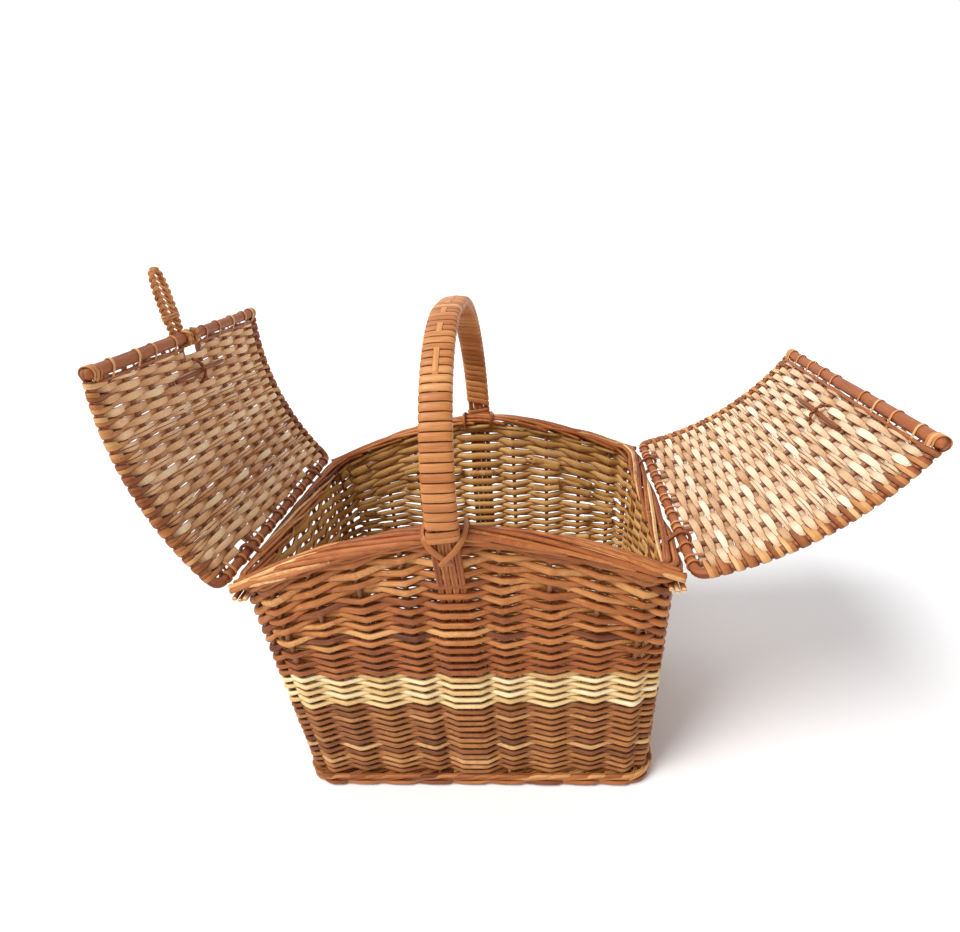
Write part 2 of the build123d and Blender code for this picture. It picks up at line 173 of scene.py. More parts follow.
def rounded_route(corners, radii, spacing):
    """A line through corners, with each one rounded to an arc, as evenly spaced points."""
    corners = [np.asarray(c, float) for c in corners]
    line = [corners[0]]
    for before, here, after, radius in zip(corners, corners[1:], corners[2:], radii):
        back, on = unit(before - here), unit(after - here)
        half = math.acos(np.clip(back @ on, -1, 1)) / 2
        middle = unit(back + on)
        centre = here + middle * radius / math.sin(half)
        start, end = here + back * radius / math.tan(half), here + on * radius / math.tan(half)
        steps = max(3, int(radius * (math.pi - 2 * half) / spacing))
        for share in np.linspace(0, 1, steps + 1):
            ray = (1 - share) * (start - centre) + share * (end - centre)
            line.append(centre + radius * ray / np.linalg.norm(ray))
    line.append(corners[-1])
    return evenly(np.array(line), spacing)


def evenly(line, spacing):
    """The same line with evenly spaced points."""
    lengths = np.r_[0, np.cumsum(np.linalg.norm(np.diff(line, axis=0), axis=1))]
    wanted = np.linspace(0, lengths[-1], max(2, int(lengths[-1] / spacing) + 1))
    return np.stack([np.interp(wanted, lengths, line[:, i]) for i in range(line.shape[1])], 1)


def curve_through(points, steps=8):
    """A smooth line through a few points (Catmull-Rom)."""
    points = np.asarray(points, float)
    padded = np.vstack([2 * points[0] - points[1], points, 2 * points[-1] - points[-2]])
    line = []
    for a, b, c, d in zip(padded, padded[1:], padded[2:], padded[3:]):
        for t in np.arange(steps) / steps:
            line.append(0.5 * (2 * b + (c - a) * t + (2 * a - 5 * b + 4 * c - d) * t ** 2
                               + (3 * b - a - 3 * c + d) * t ** 3))
    line.append(points[-1])
    return np.array(line)


# ---------------------------------------------------------------- materials

class Nodes:
    """Short names for the shader nodes that the willow materials use."""

    def __init__(self, name):
        self.material = bpy.data.materials.new(name)
        self.material.use_nodes = True
        self.tree = self.material.node_tree
        self.shader = self.tree.nodes["Principled BSDF"]

    def node(self, kind, inputs=(), **settings):
        made = self.tree.nodes.new(kind)
        for key, value in settings.items():
            setattr(made, key, value)
        for key, value in dict(inputs).items():
            if isinstance(value, bpy.types.NodeSocket):
                self.tree.links.new(value, made.inputs[key])
            else:
                made.inputs[key].default_value = value
        return made

    def attribute(self, name):
        return self.node("ShaderNodeAttribute", attribute_name=name).outputs

    def maths(self, operation, a, b=0.0):
        return self.node("ShaderNodeMath", {0: a, 1: b}, operation=operation).outputs[0]

    def ramp(self, factor, stops, interpolation="LINEAR"):
        made = self.node("ShaderNodeValToRGB", {0: factor})
        made.color_ramp.interpolation = interpolation
        elements = made.color_ramp.elements
        while len(elements) < len(stops):
            elements.new(0.5)
        for element, (place, colour) in zip(elements, stops):
            element.position = place
            element.color = (*colour, 1)
        return made.outputs[0]

    def mix(self, factor, a, b, blend="MIX"):
        made = self.node("ShaderNodeMix", data_type="RGBA", blend_type=blend)
        for socket, value in zip((made.inputs[0], made.inputs[6], made.inputs[7]), (factor, a, b)):
            if isinstance(value, bpy.types.NodeSocket):
                self.tree.links.new(value, socket)
            else:
                socket.default_value = value if isinstance(value, float) else (*value, 1)
        return made.outputs[2]

    def noise(self, vector, scale, detail=3.0, rough=0.55):
        return self.node("ShaderNodeTexNoise", {"Vector": vector, "Scale": scale, "Detail": detail,
                                                "Roughness": rough}).outputs[0]

    def stretch(self, vector, x, y, z):
        return self.node("ShaderNodeMapping", {"Vector": vector, "Scale": (x, y, z)}).outputs[0]

    def span(self, value, low, high, to_low=0.0, to_high=1.0):
        return self.node("ShaderNodeMapRange", {0: value, 1: low, 2: high, 3: to_low, 4: to_high},
                         interpolation_type="SMOOTHSTEP").outputs[0]
    def vary(self, value, noise, amount):
        """The value moved up and down by a noise that lies round one half."""
        change = self.maths("MULTIPLY", self.maths("SUBTRACT", noise, 0.5), amount)
        return self.maths("ADD", value, change)

    def finish(self, colour, rough, height, bump, depth):
        made = self.node("ShaderNodeBump", {"Height": height, "Strength": bump, "Distance": depth})
        self.tree.links.new(colour, self.shader.inputs["Base Color"])
        self.tree.links.new(rough, self.shader.inputs["Roughness"])
        self.tree.links.new(made.outputs[0], self.shader.inputs["Normal"])
        return self.material


def willow(name, bark, pith=None, gloss=0.46, streak=0.5, knots=True, bump=0.35, edge_shade=0.62):
    """Willow: bark stops by tone on the outward side, and pith stops on the inward one if given; painted
    shade darkens the edges.
    """
    n = Nodes(name)
    grain = n.attribute("grain")[1]
    face = n.attribute("face")[2]
    long_streaks = n.noise(n.stretch(grain, 9, 900, 900), 1.0, 4.0)
    fibre = n.noise(n.stretch(grain, 90, 5200, 5200), 1.0, 3.0, 0.6)
    patches = n.noise(n.stretch(grain, 28, 160, 160), 1.0, 3.0)
    shade = n.vary(n.vary(n.attribute("tone")[2], patches, 0.55), long_streaks, streak)
    colour = n.ramp(shade, bark)
    if pith:
        colour = n.mix(n.span(n.vary(face, patches, 0.3), -0.42, -0.12), n.ramp(shade, pith), colour)
    colour = n.mix(n.span(fibre, 0.32, 0.75, 0.0, 0.30), colour, (1.0, 0.86, 0.66), "SOFT_LIGHT")
    colour = n.mix(n.span(fibre, 0.62, 0.36, 0.0, 0.22), colour, (0.25, 0.10, 0.04), "MULTIPLY")
    if knots:
        places = {"Vector": n.stretch(grain, 30, 230, 230), "Scale": 1.0}
        cells = n.node("ShaderNodeTexVoronoi", places).outputs[0]
        colour = n.mix(n.span(cells, 0.16, 0.07, 0.0, 0.55), colour, (0.16, 0.07, 0.03))
    # painted shade: the rod's two edges are darkened where it lies against its neighbours, as shade falls
    # there
    edge = n.vary(n.maths("ABSOLUTE", face), patches, 0.5)
    colour = n.mix(n.span(edge, 0.62, 0.05, 0.0, edge_shade), colour, (0.22, 0.085, 0.03), "MULTIPLY")
    height = n.maths("ADD", n.maths("MULTIPLY", fibre, 0.6), n.maths("MULTIPLY", long_streaks, 0.8))
    rough = n.span(long_streaks, 0.3, 0.7, gloss - 0.06, gloss + 0.14)
    n.shader.inputs["Specular IOR Level"].default_value = 0.3
    return n.finish(colour, rough, height, bump, 0.6 * MM)


def solid_willow(name, dark, light, scale):
    """Bark for the carried-over solids, which have no strand values: streaks from their place."""
    n = Nodes(name)
    place = n.node("ShaderNodeTexCoord").outputs["Object"]
    streaks = n.noise(n.stretch(place, *scale), 1.0, 4.0)
    fibre = n.noise(place, 900.0, 2.0)
    colour = n.ramp(n.span(streaks, 0.3, 0.7), ((0.0, dark), (1.0, light)))
    colour = n.mix(n.span(fibre, 0.45, 0.7, 0.0, 0.3), colour, dark, "MULTIPLY")
    return n.finish(colour, n.span(streaks, 0.3, 0.7, 0.42, 0.6), fibre, 0.3, 0.4 * MM)


# colours by tone, from the darkest rods to the palest
PITH_INSIDE = ((0.0, (0.36, 0.165, 0.042)), (0.35, (0.56, 0.295, 0.088)),
               (0.7, (0.71, 0.415, 0.148)), (1.0, (0.83, 0.57, 0.25)))
UPPER_BARK = ((0.0, (0.12, 0.030, 0.007)), (0.3, (0.30, 0.084, 0.019)),
              (0.6, (0.47, 0.160, 0.040)), (1.0, (0.74, 0.38, 0.135)))
LOWER_BARK = ((0.0, (0.14, 0.044, 0.011)), (0.3, (0.29, 0.100, 0.027)),
              (0.6, (0.44, 0.180, 0.052)), (1.0, (0.72, 0.41, 0.17)))
PALE_BARK = ((0.0, (0.48, 0.24, 0.075)), (0.3, (0.70, 0.44, 0.17)),
             (0.7, (0.86, 0.62, 0.30)), (1.0, (0.94, 0.79, 0.49)))
BORDER_BARK = ((0.0, (0.16, 0.038, 0.010)), (0.4, (0.40, 0.115, 0.030)),
               (0.7, (0.57, 0.215, 0.065)), (1.0, (0.90, 0.60, 0.28)))
CANE = ((0.0, (0.28, 0.085, 0.022)), (0.4, (0.49, 0.178, 0.052)),
        (0.75, (0.63, 0.275, 0.095)), (1.0, (0.77, 0.43, 0.19)))
THICK_BARK = ((0.0, (0.11, 0.028, 0.009)), (0.4, (0.28, 0.075, 0.022)),
              (0.7, (0.41, 0.130, 0.040)), (1.0, (0.55, 0.22, 0.08)))
SKEIN_BARK = ((0.0, (0.22, 0.060, 0.016)), (0.4, (0.43, 0.155, 0.043)),
              (0.7, (0.60, 0.28, 0.10)), (1.0, (0.78, 0.47, 0.21)))
SKEIN_PITH = ((0.0, (0.40, 0.19, 0.085)), (0.35, (0.64, 0.40, 0.225)),
              (0.7, (0.82, 0.60, 0.40)), (1.0, (0.95, 0.80, 0.61)))

upper_willow = willow("upper_willow", UPPER_BARK, PITH_INSIDE)
lower_willow = willow("lower_willow", LOWER_BARK, PITH_INSIDE)
pale_willow = willow("pale_willow", PALE_BARK, PITH_INSIDE, gloss=0.4, knots=False)
border_willow = willow("border_willow", BORDER_BARK)
wale_willow = willow("wale_willow", UPPER_BARK, PITH_INSIDE)
cane = willow("cane", CANE, gloss=0.34, streak=0.35, knots=False, bump=0.25)
thick_willow = willow("thick_willow", THICK_BARK, gloss=0.44, bump=0.5)
# painted light: the left lid's pith is made warmer than the right one's, standing in for warm bounce light on
# that lid, which lies in shade
LEFT_SKEIN_PITH_PAINTED_BOUNCE = tuple((place, (min(1.0, red * 1.16), green * 1.01, blue * 0.86))
                        for place, (red, green, blue) in SKEIN_PITH)
# the skeins' edges get a stronger painted shade
skein_willows = [willow(name + "_skein_willow", SKEIN_BARK, pith, gloss=0.52, knots=False, bump=0.5, edge_shade=0.8)
                 for name, pith in (("left", LEFT_SKEIN_PITH_PAINTED_BOUNCE), ("right", SKEIN_PITH))]
plait_willow = willow("plait_willow", CANE, gloss=0.42, knots=False)
stake_willow = solid_willow("stake_willow", (0.15, 0.05, 0.02), (0.42, 0.17, 0.065), (60, 60, 6))
rib_willow = solid_willow("rib_willow", (0.17, 0.055, 0.022), (0.42, 0.17, 0.07), (30, 90, 30))


# ---------------------------------------------------------------- walls

WALL = 10 * MM                      # as in the model: thickness and corner radius of the walls
CORNER_RADIUS = 28 * MM
RIM_HALF_LENGTH = 205 * MM
RIM_HALF_WIDTH = 150 * MM
CORNER_HEIGHT = 262 * MM
CROWN_HEIGHT = 318 * MM
CROWN_POWER = 1.7
LONG_STAKES = np.array([44, 88, 132, 172]) * MM
SHORT_STAKES = np.array([42, 84, 118]) * MM

WEAVE_GAP = 11 * MM                 # the weaving stops this far under the rim

lower_top = node_box("lower_weave")[1]
band_top = node_box("pale_band")[1]
wale_top = node_box("bottom_wale")[1][2]
WALL_SLOPE = (band_top - lower_top)[:2] / (band_top[2] - lower_top[2])
FOOT_HALF = lower_top[:2] - WALL_SLOPE * lower_top[2]
BEND = CORNER_RADIUS - WALL / 2     # corner radius of the middle of the wall


def rim_height(x):
    share = np.minimum(np.abs(x) / RIM_HALF_LENGTH, 1)
    return CORNER_HEIGHT + (CROWN_HEIGHT - CORNER_HEIGHT) * (1 - share ** CROWN_POWER)


def middle_half(z):
    """Half length and half width of the middle of the wall at a height."""
    return [FOOT_HALF[i] + WALL_SLOPE[i] * z - WALL / 2 for i in (0, 1)]


def stake_table():
    """One row per stake, anticlockwise from the front middle: side, share of that side."""
    long_shares = LONG_STAKES / (RIM_HALF_LENGTH - WALL / 2)
    short_shares = SHORT_STAKES / (RIM_HALF_WIDTH - WALL / 2)
    long_side = [*-long_shares[::-1], 0.0, *long_shares]
    short_side = [*-short_shares[::-1], 0.0, *short_shares]
    middle = len(long_shares)
    sides = (("front", long_side[middle:]), ("right", short_side), ("back", long_side), ("left", short_side))
    table = []
    for corner, (side, shares) in enumerate(sides):
        table += [(side, share) for share in shares] + [("corner", corner)]
    return table + [("front", share) for share in long_side[:middle]]


STAKES = stake_table()
HANDLE_STAKES = [i for i, (side, share) in enumerate(STAKES) if side in ("front", "back") and share == 0]


def ring_sizes(z):
    """Half sizes of the wall's middle at a height, its straight runs, its corner arc and its girth."""
    half_x, half_y = middle_half(z)
    run_x, run_y, arc = 2 * (half_x - BEND), 2 * (half_y - BEND), math.pi * BEND / 2
    return half_x, half_y, run_x, run_y, arc, 2 * run_x + 2 * run_y + 4 * arc


def stake_place(index, z):
    """Distance round the wall's middle, from the front middle, of a stake at a height."""
    half_x, half_y, run_x, run_y, arc, girth = ring_sizes(z)
    side, share = STAKES[index % len(STAKES)]
    lap = (index // len(STAKES)) * girth
    if side == "corner":
        runs = (run_x / 2, run_x / 2 + run_y, 1.5 * run_x + run_y, 1.5 * run_x + 2 * run_y)
        return lap + runs[share] + (share + 0.5) * arc
    start = {"front": 0 if share >= 0 else girth, "right": run_x / 2 + arc + run_y / 2,
             "back": run_x + 2 * arc + run_y, "left": 1.5 * run_x + 3 * arc + 1.5 * run_y}
    return lap + start[side] + share * (half_x if side in ("front", "back") else half_y)


def wall_point(place, z, out):
    """A point at a distance round the wall and a distance out from its middle, and the way out."""
    half_x, half_y, run_x, run_y, arc, girth = ring_sizes(z)
    s = np.mod(place + run_x / 2, girth)
    x, y = np.zeros_like(s), np.zeros_like(s)
    nx, ny = np.zeros_like(s), np.zeros_like(s)
    runs = (run_x, run_y, run_x, run_y)
    start = np.zeros_like(s)
    for quarter in range(4):
        ahead = np.array([(1, 0), (0, 1), (-1, 0), (0, -1)][quarter], float)
        away = np.array([ahead[1], -ahead[0]])
        across = half_y if quarter % 2 == 0 else half_x
        on = (s >= start) & (s < start + runs[quarter])
        t = s - start - runs[quarter] / 2
        x = np.where(on, ahead[0] * t + away[0] * across, x)
        y = np.where(on, ahead[1] * t + away[1] * across, y)
        nx, ny = np.where(on, away[0], nx), np.where(on, away[1], ny)
        start = start + runs[quarter]
        on = (s >= start) & (s < start + arc)
        angle = (s - start) / BEND
        centre_x = ahead[0] * runs[quarter] / 2 + away[0] * (across - BEND)
        centre_y = ahead[1] * runs[quarter] / 2 + away[1] * (across - BEND)
        ray_x = away[0] * np.cos(angle) + ahead[0] * np.sin(angle)
        ray_y = away[1] * np.cos(angle) + ahead[1] * np.sin(angle)
        x = np.where(on, centre_x + BEND * ray_x, x)
        y = np.where(on, centre_y + BEND * ray_y, y)
        nx, ny = np.where(on, ray_x, nx), np.where(on, ray_y, ny)
        start = start + arc
    way_out = np.stack([nx, ny, np.zeros_like(nx)], 1)
    return np.stack([x, y, np.broadcast_to(z, x.shape)], 1) + way_out * np.asarray(out)[:, None], way_out


STEPS = np.array([0, 0.05, 0.15, 0.32, 0.5, 0.68, 0.85, 0.95])
REACH = 4.8 * MM                    # a weaver's distance out or in as it passes a stake
HANDLE_REACH = 5.9 * MM
HANDLE_HALF_WIDTH = 13 * MM


def bay_positions(first, last):
    """Where to put points between two stakes, closer together beside each stake."""
    bays = np.arange(math.floor(first), math.ceil(last))
    places = (bays[:, None] + STEPS).ravel()
    places = places[(places > first) & (places < last)]
    return np.r_[first, places, last]


def round_wall(bay, z):
    """Distance round the wall for positions counted in stakes."""
    low = np.floor(bay).astype(int)
    places = np.zeros_like(bay)
    for index in range(low.min(), low.max() + 2):
        near = np.abs(bay - index) <= 1
        weight = np.where(near, 1 - np.abs(bay - index), 0)
        places += weight * stake_place(index, z)
    return places


def follow(bay, height):
    """Distance round the wall, and height, of positions counted in stakes on a row at height(x)."""
    z = np.full_like(bay, height(np.zeros(1))[0])
    for _ in range(2):
        place = round_wall(bay, z)
        z = height(wall_point(place, z, np.zeros_like(bay))[0][:, 0])
    return place, z


SHARPNESS = 0.985                   # of a weaver's turn at a stake; 1 would be a corner


def weave_out(bay, parity):
    """How far out a weaver lies: out past one stake and in past the next, with a sharp turn."""
    low = np.floor(bay).astype(int)
    t = bay - low
    reach_low = np.where(np.isin(low % len(STAKES), HANDLE_STAKES), HANDLE_REACH, REACH)
    reach_high = np.where(np.isin((low + 1) % len(STAKES), HANDLE_STAKES), HANDLE_REACH, REACH)
    flat = HANDLE_HALF_WIDTH / LONG_STAKES[0]
    t = np.where(reach_low > REACH, np.clip((t - flat) / (1 - flat), 0, 1), t)
    t = np.where(reach_high > REACH, np.clip(t / (1 - flat), 0, 1), t)
    wave = np.arcsin(SHARPNESS * np.cos(math.pi * t)) / math.asin(SHARPNESS)
    sign = np.where((low + parity) % 2 == 0, 1, -1)
    reach = (reach_low + reach_high) / 2 + (reach_low - reach_high) / 2 * wave
    return sign * wave * reach, np.abs(wave)


ALL_ROUND = (0, len(STAKES))
START_TAIL, END_TAIL = 0.42, 0.38   # how far a rod's ends lie past their stakes, in bays
THICKEST = 2.25 * MM                # the most that a weaver is thick, as a half size


def weave_row(bundle, parity, height, pitch, tones, bays=ALL_ROUND, rods=2):
    """One round of weaving.  height(x) gives its height; rods meet behind stakes, with short tails."""
    first = bays[0] + (RANDOM.integers(0, len(STAKES)) if bays == ALL_ROUND else 0)
    span = bays[1] - bays[0]
    cuts = [first + span * i // rods for i in range(rods)]
    cuts = [cut if (cut + parity) % 2 else cut + 1 for cut in cuts]
    cuts.append(cuts[0] + span if bays == ALL_ROUND else bays[1])
    for start, end in zip(cuts, cuts[1:]):
        bay = bay_positions(start - START_TAIL, end + END_TAIL)
        place, z = follow(bay, height)
        out, beside = weave_out(bay, parity)
        tail = np.clip((start - bay) / START_TAIL, 0, 1) + np.clip((bay - end) / END_TAIL, 0, 1)
        out = np.where(tail > 0, -REACH - 2.2 * MM * tail, out)
        z = z + wander(place, 0.11, 0.28 * MM) + 0.8 * MM * tail
        z = z - 0.36 * np.minimum(np.abs(out), REACH) * smooth(z, wale_top, wale_top + 25 * MM)
        line, way_out = wall_point(place, z, out + wander(place, 0.09, 0.16 * MM))
        along = np.linspace(0, 1, len(bay))
        taper = 1.07 - 0.16 * (along if RANDOM.random() < 0.5 else 1 - along)
        inside = smooth(-out / REACH, 0.0, 0.9)
        wide = pitch * (0.53 + 0.09 * beside ** 0.7 + 0.23 * inside) * taper * RANDOM.uniform(0.94, 1.08)
        thick = np.minimum(wide * 0.86, THICKEST)
        bundle.strand(line, wide, thick, way_out, tones() + wander(place, 0.25, 0.05))


def flat_height(z):
    return lambda x: np.full_like(np.asarray(x, float), z)


def rows_between(bottom, top, count, first_parity, tones, name, material, slot, node):
    bundle = Bundle()
    pitch = (top - bottom) / count
    for i in range(count):
        weave_row(bundle, first_parity + i, flat_height(bottom + (i + 0.5) * pitch), pitch, tones)
    bundle.build(name, material, "basket", slot, node)


def tones_around(middle, spread, odd_chance=0.0, odd=0.9):
    """A function that draws the next rod's tone, which now and then is the odd one."""
    def tone():
        if RANDOM.random() < odd_chance:
            return odd
        return float(np.clip(RANDOM.normal(middle, spread), 0.02, 0.98))
    return tone


LOWER_ROWS, PALE_ROWS = 24, 9
rows_between(wale_top, lower_top[2], LOWER_ROWS, 0, tones_around(0.42, 0.17, 0.07),
             "lower_weaving", lower_willow, "brown_weave", "lower_weave")
rows_between(lower_top[2], band_top[2], PALE_ROWS, LOWER_ROWS, tones_around(0.55, 0.22, 0.08, 0.05),
             "pale_weaving", pale_willow, "pale_weave", "pale_band")


UPPER_PARITY = LOWER_ROWS + PALE_ROWS


def row_order():
    """The upper wall's rows: None for a whole round, or how many stakes a short one reaches."""
    order = [None] * 4
    for stakes in (4, 4, 4, 3, 2):
        for _ in range(2):
            # a short row starts and ends behind a stake, whichever its parity puts it behind
            order.append(stakes if (stakes + UPPER_PARITY + len(order)) % 2 else stakes - 1)
        order += [None, None]
    return order + [None] * 4


def upper_weaving():
    """The upper wall.  Its rods grow thicker upwards, and short rows fill the crown of the long sides."""
    order = row_order()
    bottom = band_top[2]
    growth = np.linspace(0.8, 1.22, len(order))
    full = np.array([stakes is None for stakes in order])
    pitches = growth * (CORNER_HEIGHT - WEAVE_GAP - bottom) / growth[full].sum()

    def share_of(pitch, stakes, x):
        if stakes is None:
            return pitch
        return pitch * smooth(LONG_STAKES[stakes - 1] - np.abs(x), -26 * MM, 6 * MM)

    def height_of(index):
        def height(x):
            x = np.asarray(x, float)
            shares = [share_of(pitch, stakes, x) for pitch, stakes in zip(pitches, order)]
            below = sum(shares[:index]) + shares[index] * 0.5
            return bottom + (rim_height(x) - WEAVE_GAP - bottom) * below / sum(shares)
        return height

    bundle = Bundle()
    tones = tones_around(0.43, 0.14, 0.02)
    for index, stakes in enumerate(order):
        row = (bundle, UPPER_PARITY + index, height_of(index), pitches[index], tones)
        if stakes is None:
            weave_row(*row)
            continue
        for middle in HANDLE_STAKES:
            weave_row(*row, bays=(middle - stakes, middle + stakes), rods=1)
    bundle.build("upper_weaving", upper_willow, "basket", "brown_weave", "upper_weave")


upper_weaving()

WALE_OUTS = np.array([4.6, 7.4, -4.8]) * MM     # outside two stakes, then inside the third
WALE_LIFTS = np.array([-1.0, 1.0, 0.0])


def wale(bundle, height, radius, tones, tilt, shift=0.0):
    """Three rods twisted round the stakes: each passes outside two stakes, then inside one."""
    count = len(STAKES)
    for strand in range(3):
        for half in range(2):
            start = 2 - strand + half * count // 2 + shift
            bay = bay_positions(start - 0.4, start + count / 2 + 0.4)
            low = np.floor(bay - shift).astype(int)
            slant = bay - shift - low
            t = smooth(slant, 0.12, 0.88)
            here, there = (low + strand) % 3, (low + strand + 1) % 3
            out = WALE_OUTS[here] * (1 - t) + WALE_OUTS[there] * t
            lift = tilt * (WALE_LIFTS[here] * (1 - slant) + WALE_LIFTS[there] * slant)
            place, z = follow(bay, height)
            line, way_out = wall_point(place, z + lift + wander(place, 0.1, 0.25 * MM), out)
            size = radius * np.linspace(1.1, 0.9, len(bay)) * RANDOM.uniform(0.95, 1.05)
            bundle.strand(line, size, size * 0.9, way_out, tones())


def bottom_wale():
    """A flat row that the basket stands on, and two rows slanted over each other above it."""
    bundle = Bundle()
    tones = tones_around(0.5, 0.2)
    wale(bundle, flat_height(4.2 * MM), 2.3 * MM, tones, 0.9 * MM)
    for shift in (-0.25, 0.25):
        wale(bundle, flat_height(10.2 * MM), 2.35 * MM, tones, 5.2 * MM, shift)
    bundle.build("bottom_waling", wale_willow, "basket", "brown_weave", "bottom_wale")


def top_wale():
    bundle = Bundle()
    wale(bundle, lambda x: rim_height(x) - 8.0 * MM, 2.7 * MM, tones_around(0.4, 0.16), 2.3 * MM)
    bundle.build("top_waling", wale_willow, "basket", "brown_weave")


bottom_wale()
top_wale()


# ---------------------------------------------------------------- border

BORDER_ROD = 270 * MM
BORDER_DEPTH = 5.6                  # how many rods lie side by side at any place
FOUR_CORNERS = [(x_side, y_side) for x_side in (-1, 1) for y_side in (-1, 1)]


def rolled_rods(bundle, tones):
    """Rods laid along the rim.  Each starts on the inside and works over to a cut end outside."""
    girth = ring_sizes(CORNER_HEIGHT)[-1]
    count = int(girth / (BORDER_ROD / BORDER_DEPTH))
    for i in range(count):
        length = BORDER_ROD + RANDOM.uniform(-0.03, 0.05)
        start = i * girth / count + RANDOM.uniform(-9, 9) * MM
        place = np.arange(start, start + length, 4 * MM)
        share = (place - start) / length
        angle = np.radians(202 - 236 * share ** 0.9) + wander(place, 0.12, 0.10)
        z = np.full_like(place, CORNER_HEIGHT)
        for _ in range(2):
            z = rim_height(wall_point(place, z, np.zeros_like(place))[0][:, 0])
        radius = 2.7 * MM * RANDOM.uniform(0.84, 1.18)
        swell = 1 + wander(place, 0.1, 0.07)
        out = 7.4 * MM * np.cos(angle) * swell
        lift = -0.4 * MM + 5.5 * MM * np.sin(angle) * swell
        line, way_out = wall_point(place, z + lift, out)
        size = radius * (0.78 + 0.26 * share)
        bundle.strand(line, size, size, way_out, tones() + wander(place, 0.2, 0.06), sides=9)
        bundle.cut_end(line, size[-1], way_out[-1])


def straight_rods(bundle, x_side, y_side):
    """Rods laid along the top of a long side, cut off just past the corner."""
    half_y = ring_sizes(CORNER_HEIGHT)[1]
    for out, lift, past in ((6.2, 1.2, 0.0), (4.2, 4.6, 1.5), (-0.6, 5.4, -1.5), (-4.8, 3.8, -4.0)):
        x = np.linspace(RANDOM.uniform(70, 125) * MM, RIM_HALF_LENGTH + (1.2 + past) * MM, 26)
        share = np.linspace(0, 1, 26)
        sink = 3.4 * MM * (1 - smooth(share, 0.0, 0.35))
        y = half_y + (out + 1.2 * share ** 2) * MM - np.sign(out) * sink
        z = rim_height(x) + lift * MM - sink + 1.0 * MM * smooth(share, 0.8, 1.0)
        line = np.stack([x_side * x, y_side * (y + wander(x, 0.08, 0.25 * MM)), z], 1)
        radius = RANDOM.uniform(2.2, 2.7) * MM
        size = radius * (0.8 + 0.2 * share)
        bundle.strand(line, size, size, (0, y_side, 0.3), RANDOM.uniform(0.45, 0.9), sides=9)
        bundle.cut_end(line, radius, (0, 0, 1))


def corner_ends(bundle, tones, x_side, y_side):
    """Cut ends of the short side's rods, which stand out under the border at a corner."""
    half_x, half_y = ring_sizes(CORNER_HEIGHT)[:2]
    for step in range(3):
        x = half_x + (5.5 - 5.4 * step) * MM
        y = half_y + (6 + 2.0 * RANDOM.random()) * MM
        z = CORNER_HEIGHT - (6.0 + 1.5 * (step % 2)) * MM
        ends = np.array([(x - 1.5 * MM, y - 52 * MM, z + 3 * MM), (x, y - 24 * MM, z), (x, y, z - 1 * MM)])
        line = curve_through(ends * [x_side, y_side, 1], 5)
        radius = RANDOM.uniform(2.2, 2.7) * MM
        bundle.strand(line, radius, radius, (0, 0, 1), tones(), sides=9)
        bundle.cut_end(line, radius, (0, 0, 1))


def border():
    bundle = Bundle()
    tones = tones_around(0.47, 0.19, 0.07, 0.9)
    rolled_rods(bundle, tones)
    for x_side, y_side in FOUR_CORNERS:
        straight_rods(bundle, x_side, y_side)
    for x_side, y_side in FOUR_CORNERS:
        corner_ends(bundle, tones, x_side, y_side)
    bundle.build("border", border_willow, "basket", "border_rod", "border_rods")


border()


# ---------------------------------------------------------------- base

FLOOR_CLEARANCE = 3.4 * MM
BASE_WEAVER = 4.7 * MM


def base():
    """Weavers over and under the seven base sticks, with two rods round the foot of the wall."""
    bundle = Bundle()
    low, high = node_box("base_weave")
    sticks_low, sticks_high = node_box("base_sticks")
    middle_z = (sticks_low[2] + sticks_high[2]) / 2
    pitch = (sticks_high[1] - sticks_low[1] - 6 * MM) / 6
    tones = tones_around(0.45, 0.15, 0.05)
    count = int((high[0] - low[0] - 8 * MM) / BASE_WEAVER)
    for i in range(count):
        x = low[0] + 4 * MM + (i + 0.5) * BASE_WEAVER
        inset = 8 * MM * max(0, 1 - min(i, count - 1 - i) / 3)
        y = np.arange(low[1] + inset, high[1] - inset, 4 * MM)
        lift = 3.4 * MM * np.cos(math.pi * y / pitch) * (1 if i % 2 else -1)
        z = np.maximum(middle_z + lift, FLOOR_CLEARANCE)
        line = np.stack([x + wander(y, 0.1, 0.2 * MM), y, z], 1)
        bundle.strand(line, 2.2 * MM, 1.9 * MM, (0, 0, -1), tones(), sides=6)
    for z, out in ((4.6 * MM, -7.4 * MM), (8.8 * MM, -7.8 * MM)):
        place = np.linspace(0, ring_sizes(z)[-1], 241)[:-1]
        line, way_out = wall_point(place, z, np.full_like(place, out))
        bundle.strand(line, 2.5 * MM, 2.3 * MM, way_out, 0.4 + wander(place, 0.3, 0.08), closed=True)
    bundle.build("base_weaving", lower_willow, "basket", "brown_weave", "base_weave")


base()


# ---------------------------------------------------------------- handle

HANDLE_ROD_RADIUS = 3.25 * MM
HANDLE_ROD_PITCH = 6.7 * MM
hoop_low, hoop_high = node_box("handle_wrap")
WRAP_HALF_WIDTH = hoop_high[0]
WRAP_HALF_DEPTH = 6.0 * MM
HOOP_TOP = hoop_high[2] - WRAP_HALF_DEPTH
HOOP_SIDE = 173 * MM
RIM_CROSSING = 166 * MM
HOOP_BEND = 150 * MM


def handle_line(spacing):
    """Middle of the handle from the foot of the front leg, over the top, to the back one."""
    foot = middle_half(2 * MM)[1]
    woven = middle_half(240 * MM)[1]
    leg = [(-foot, 2 * MM), (-woven, 240 * MM), (-RIM_CROSSING, CROWN_HEIGHT), (-HOOP_SIDE, HOOP_TOP)]
    corners = leg + [(-y, z) for y, z in reversed(leg)]
    line = rounded_route(corners, (0.12, 0.12, HOOP_BEND, HOOP_BEND, 0.12, 0.12), spacing)
    return np.stack([np.zeros(len(line)), line[:, 0], line[:, 1]], 1)


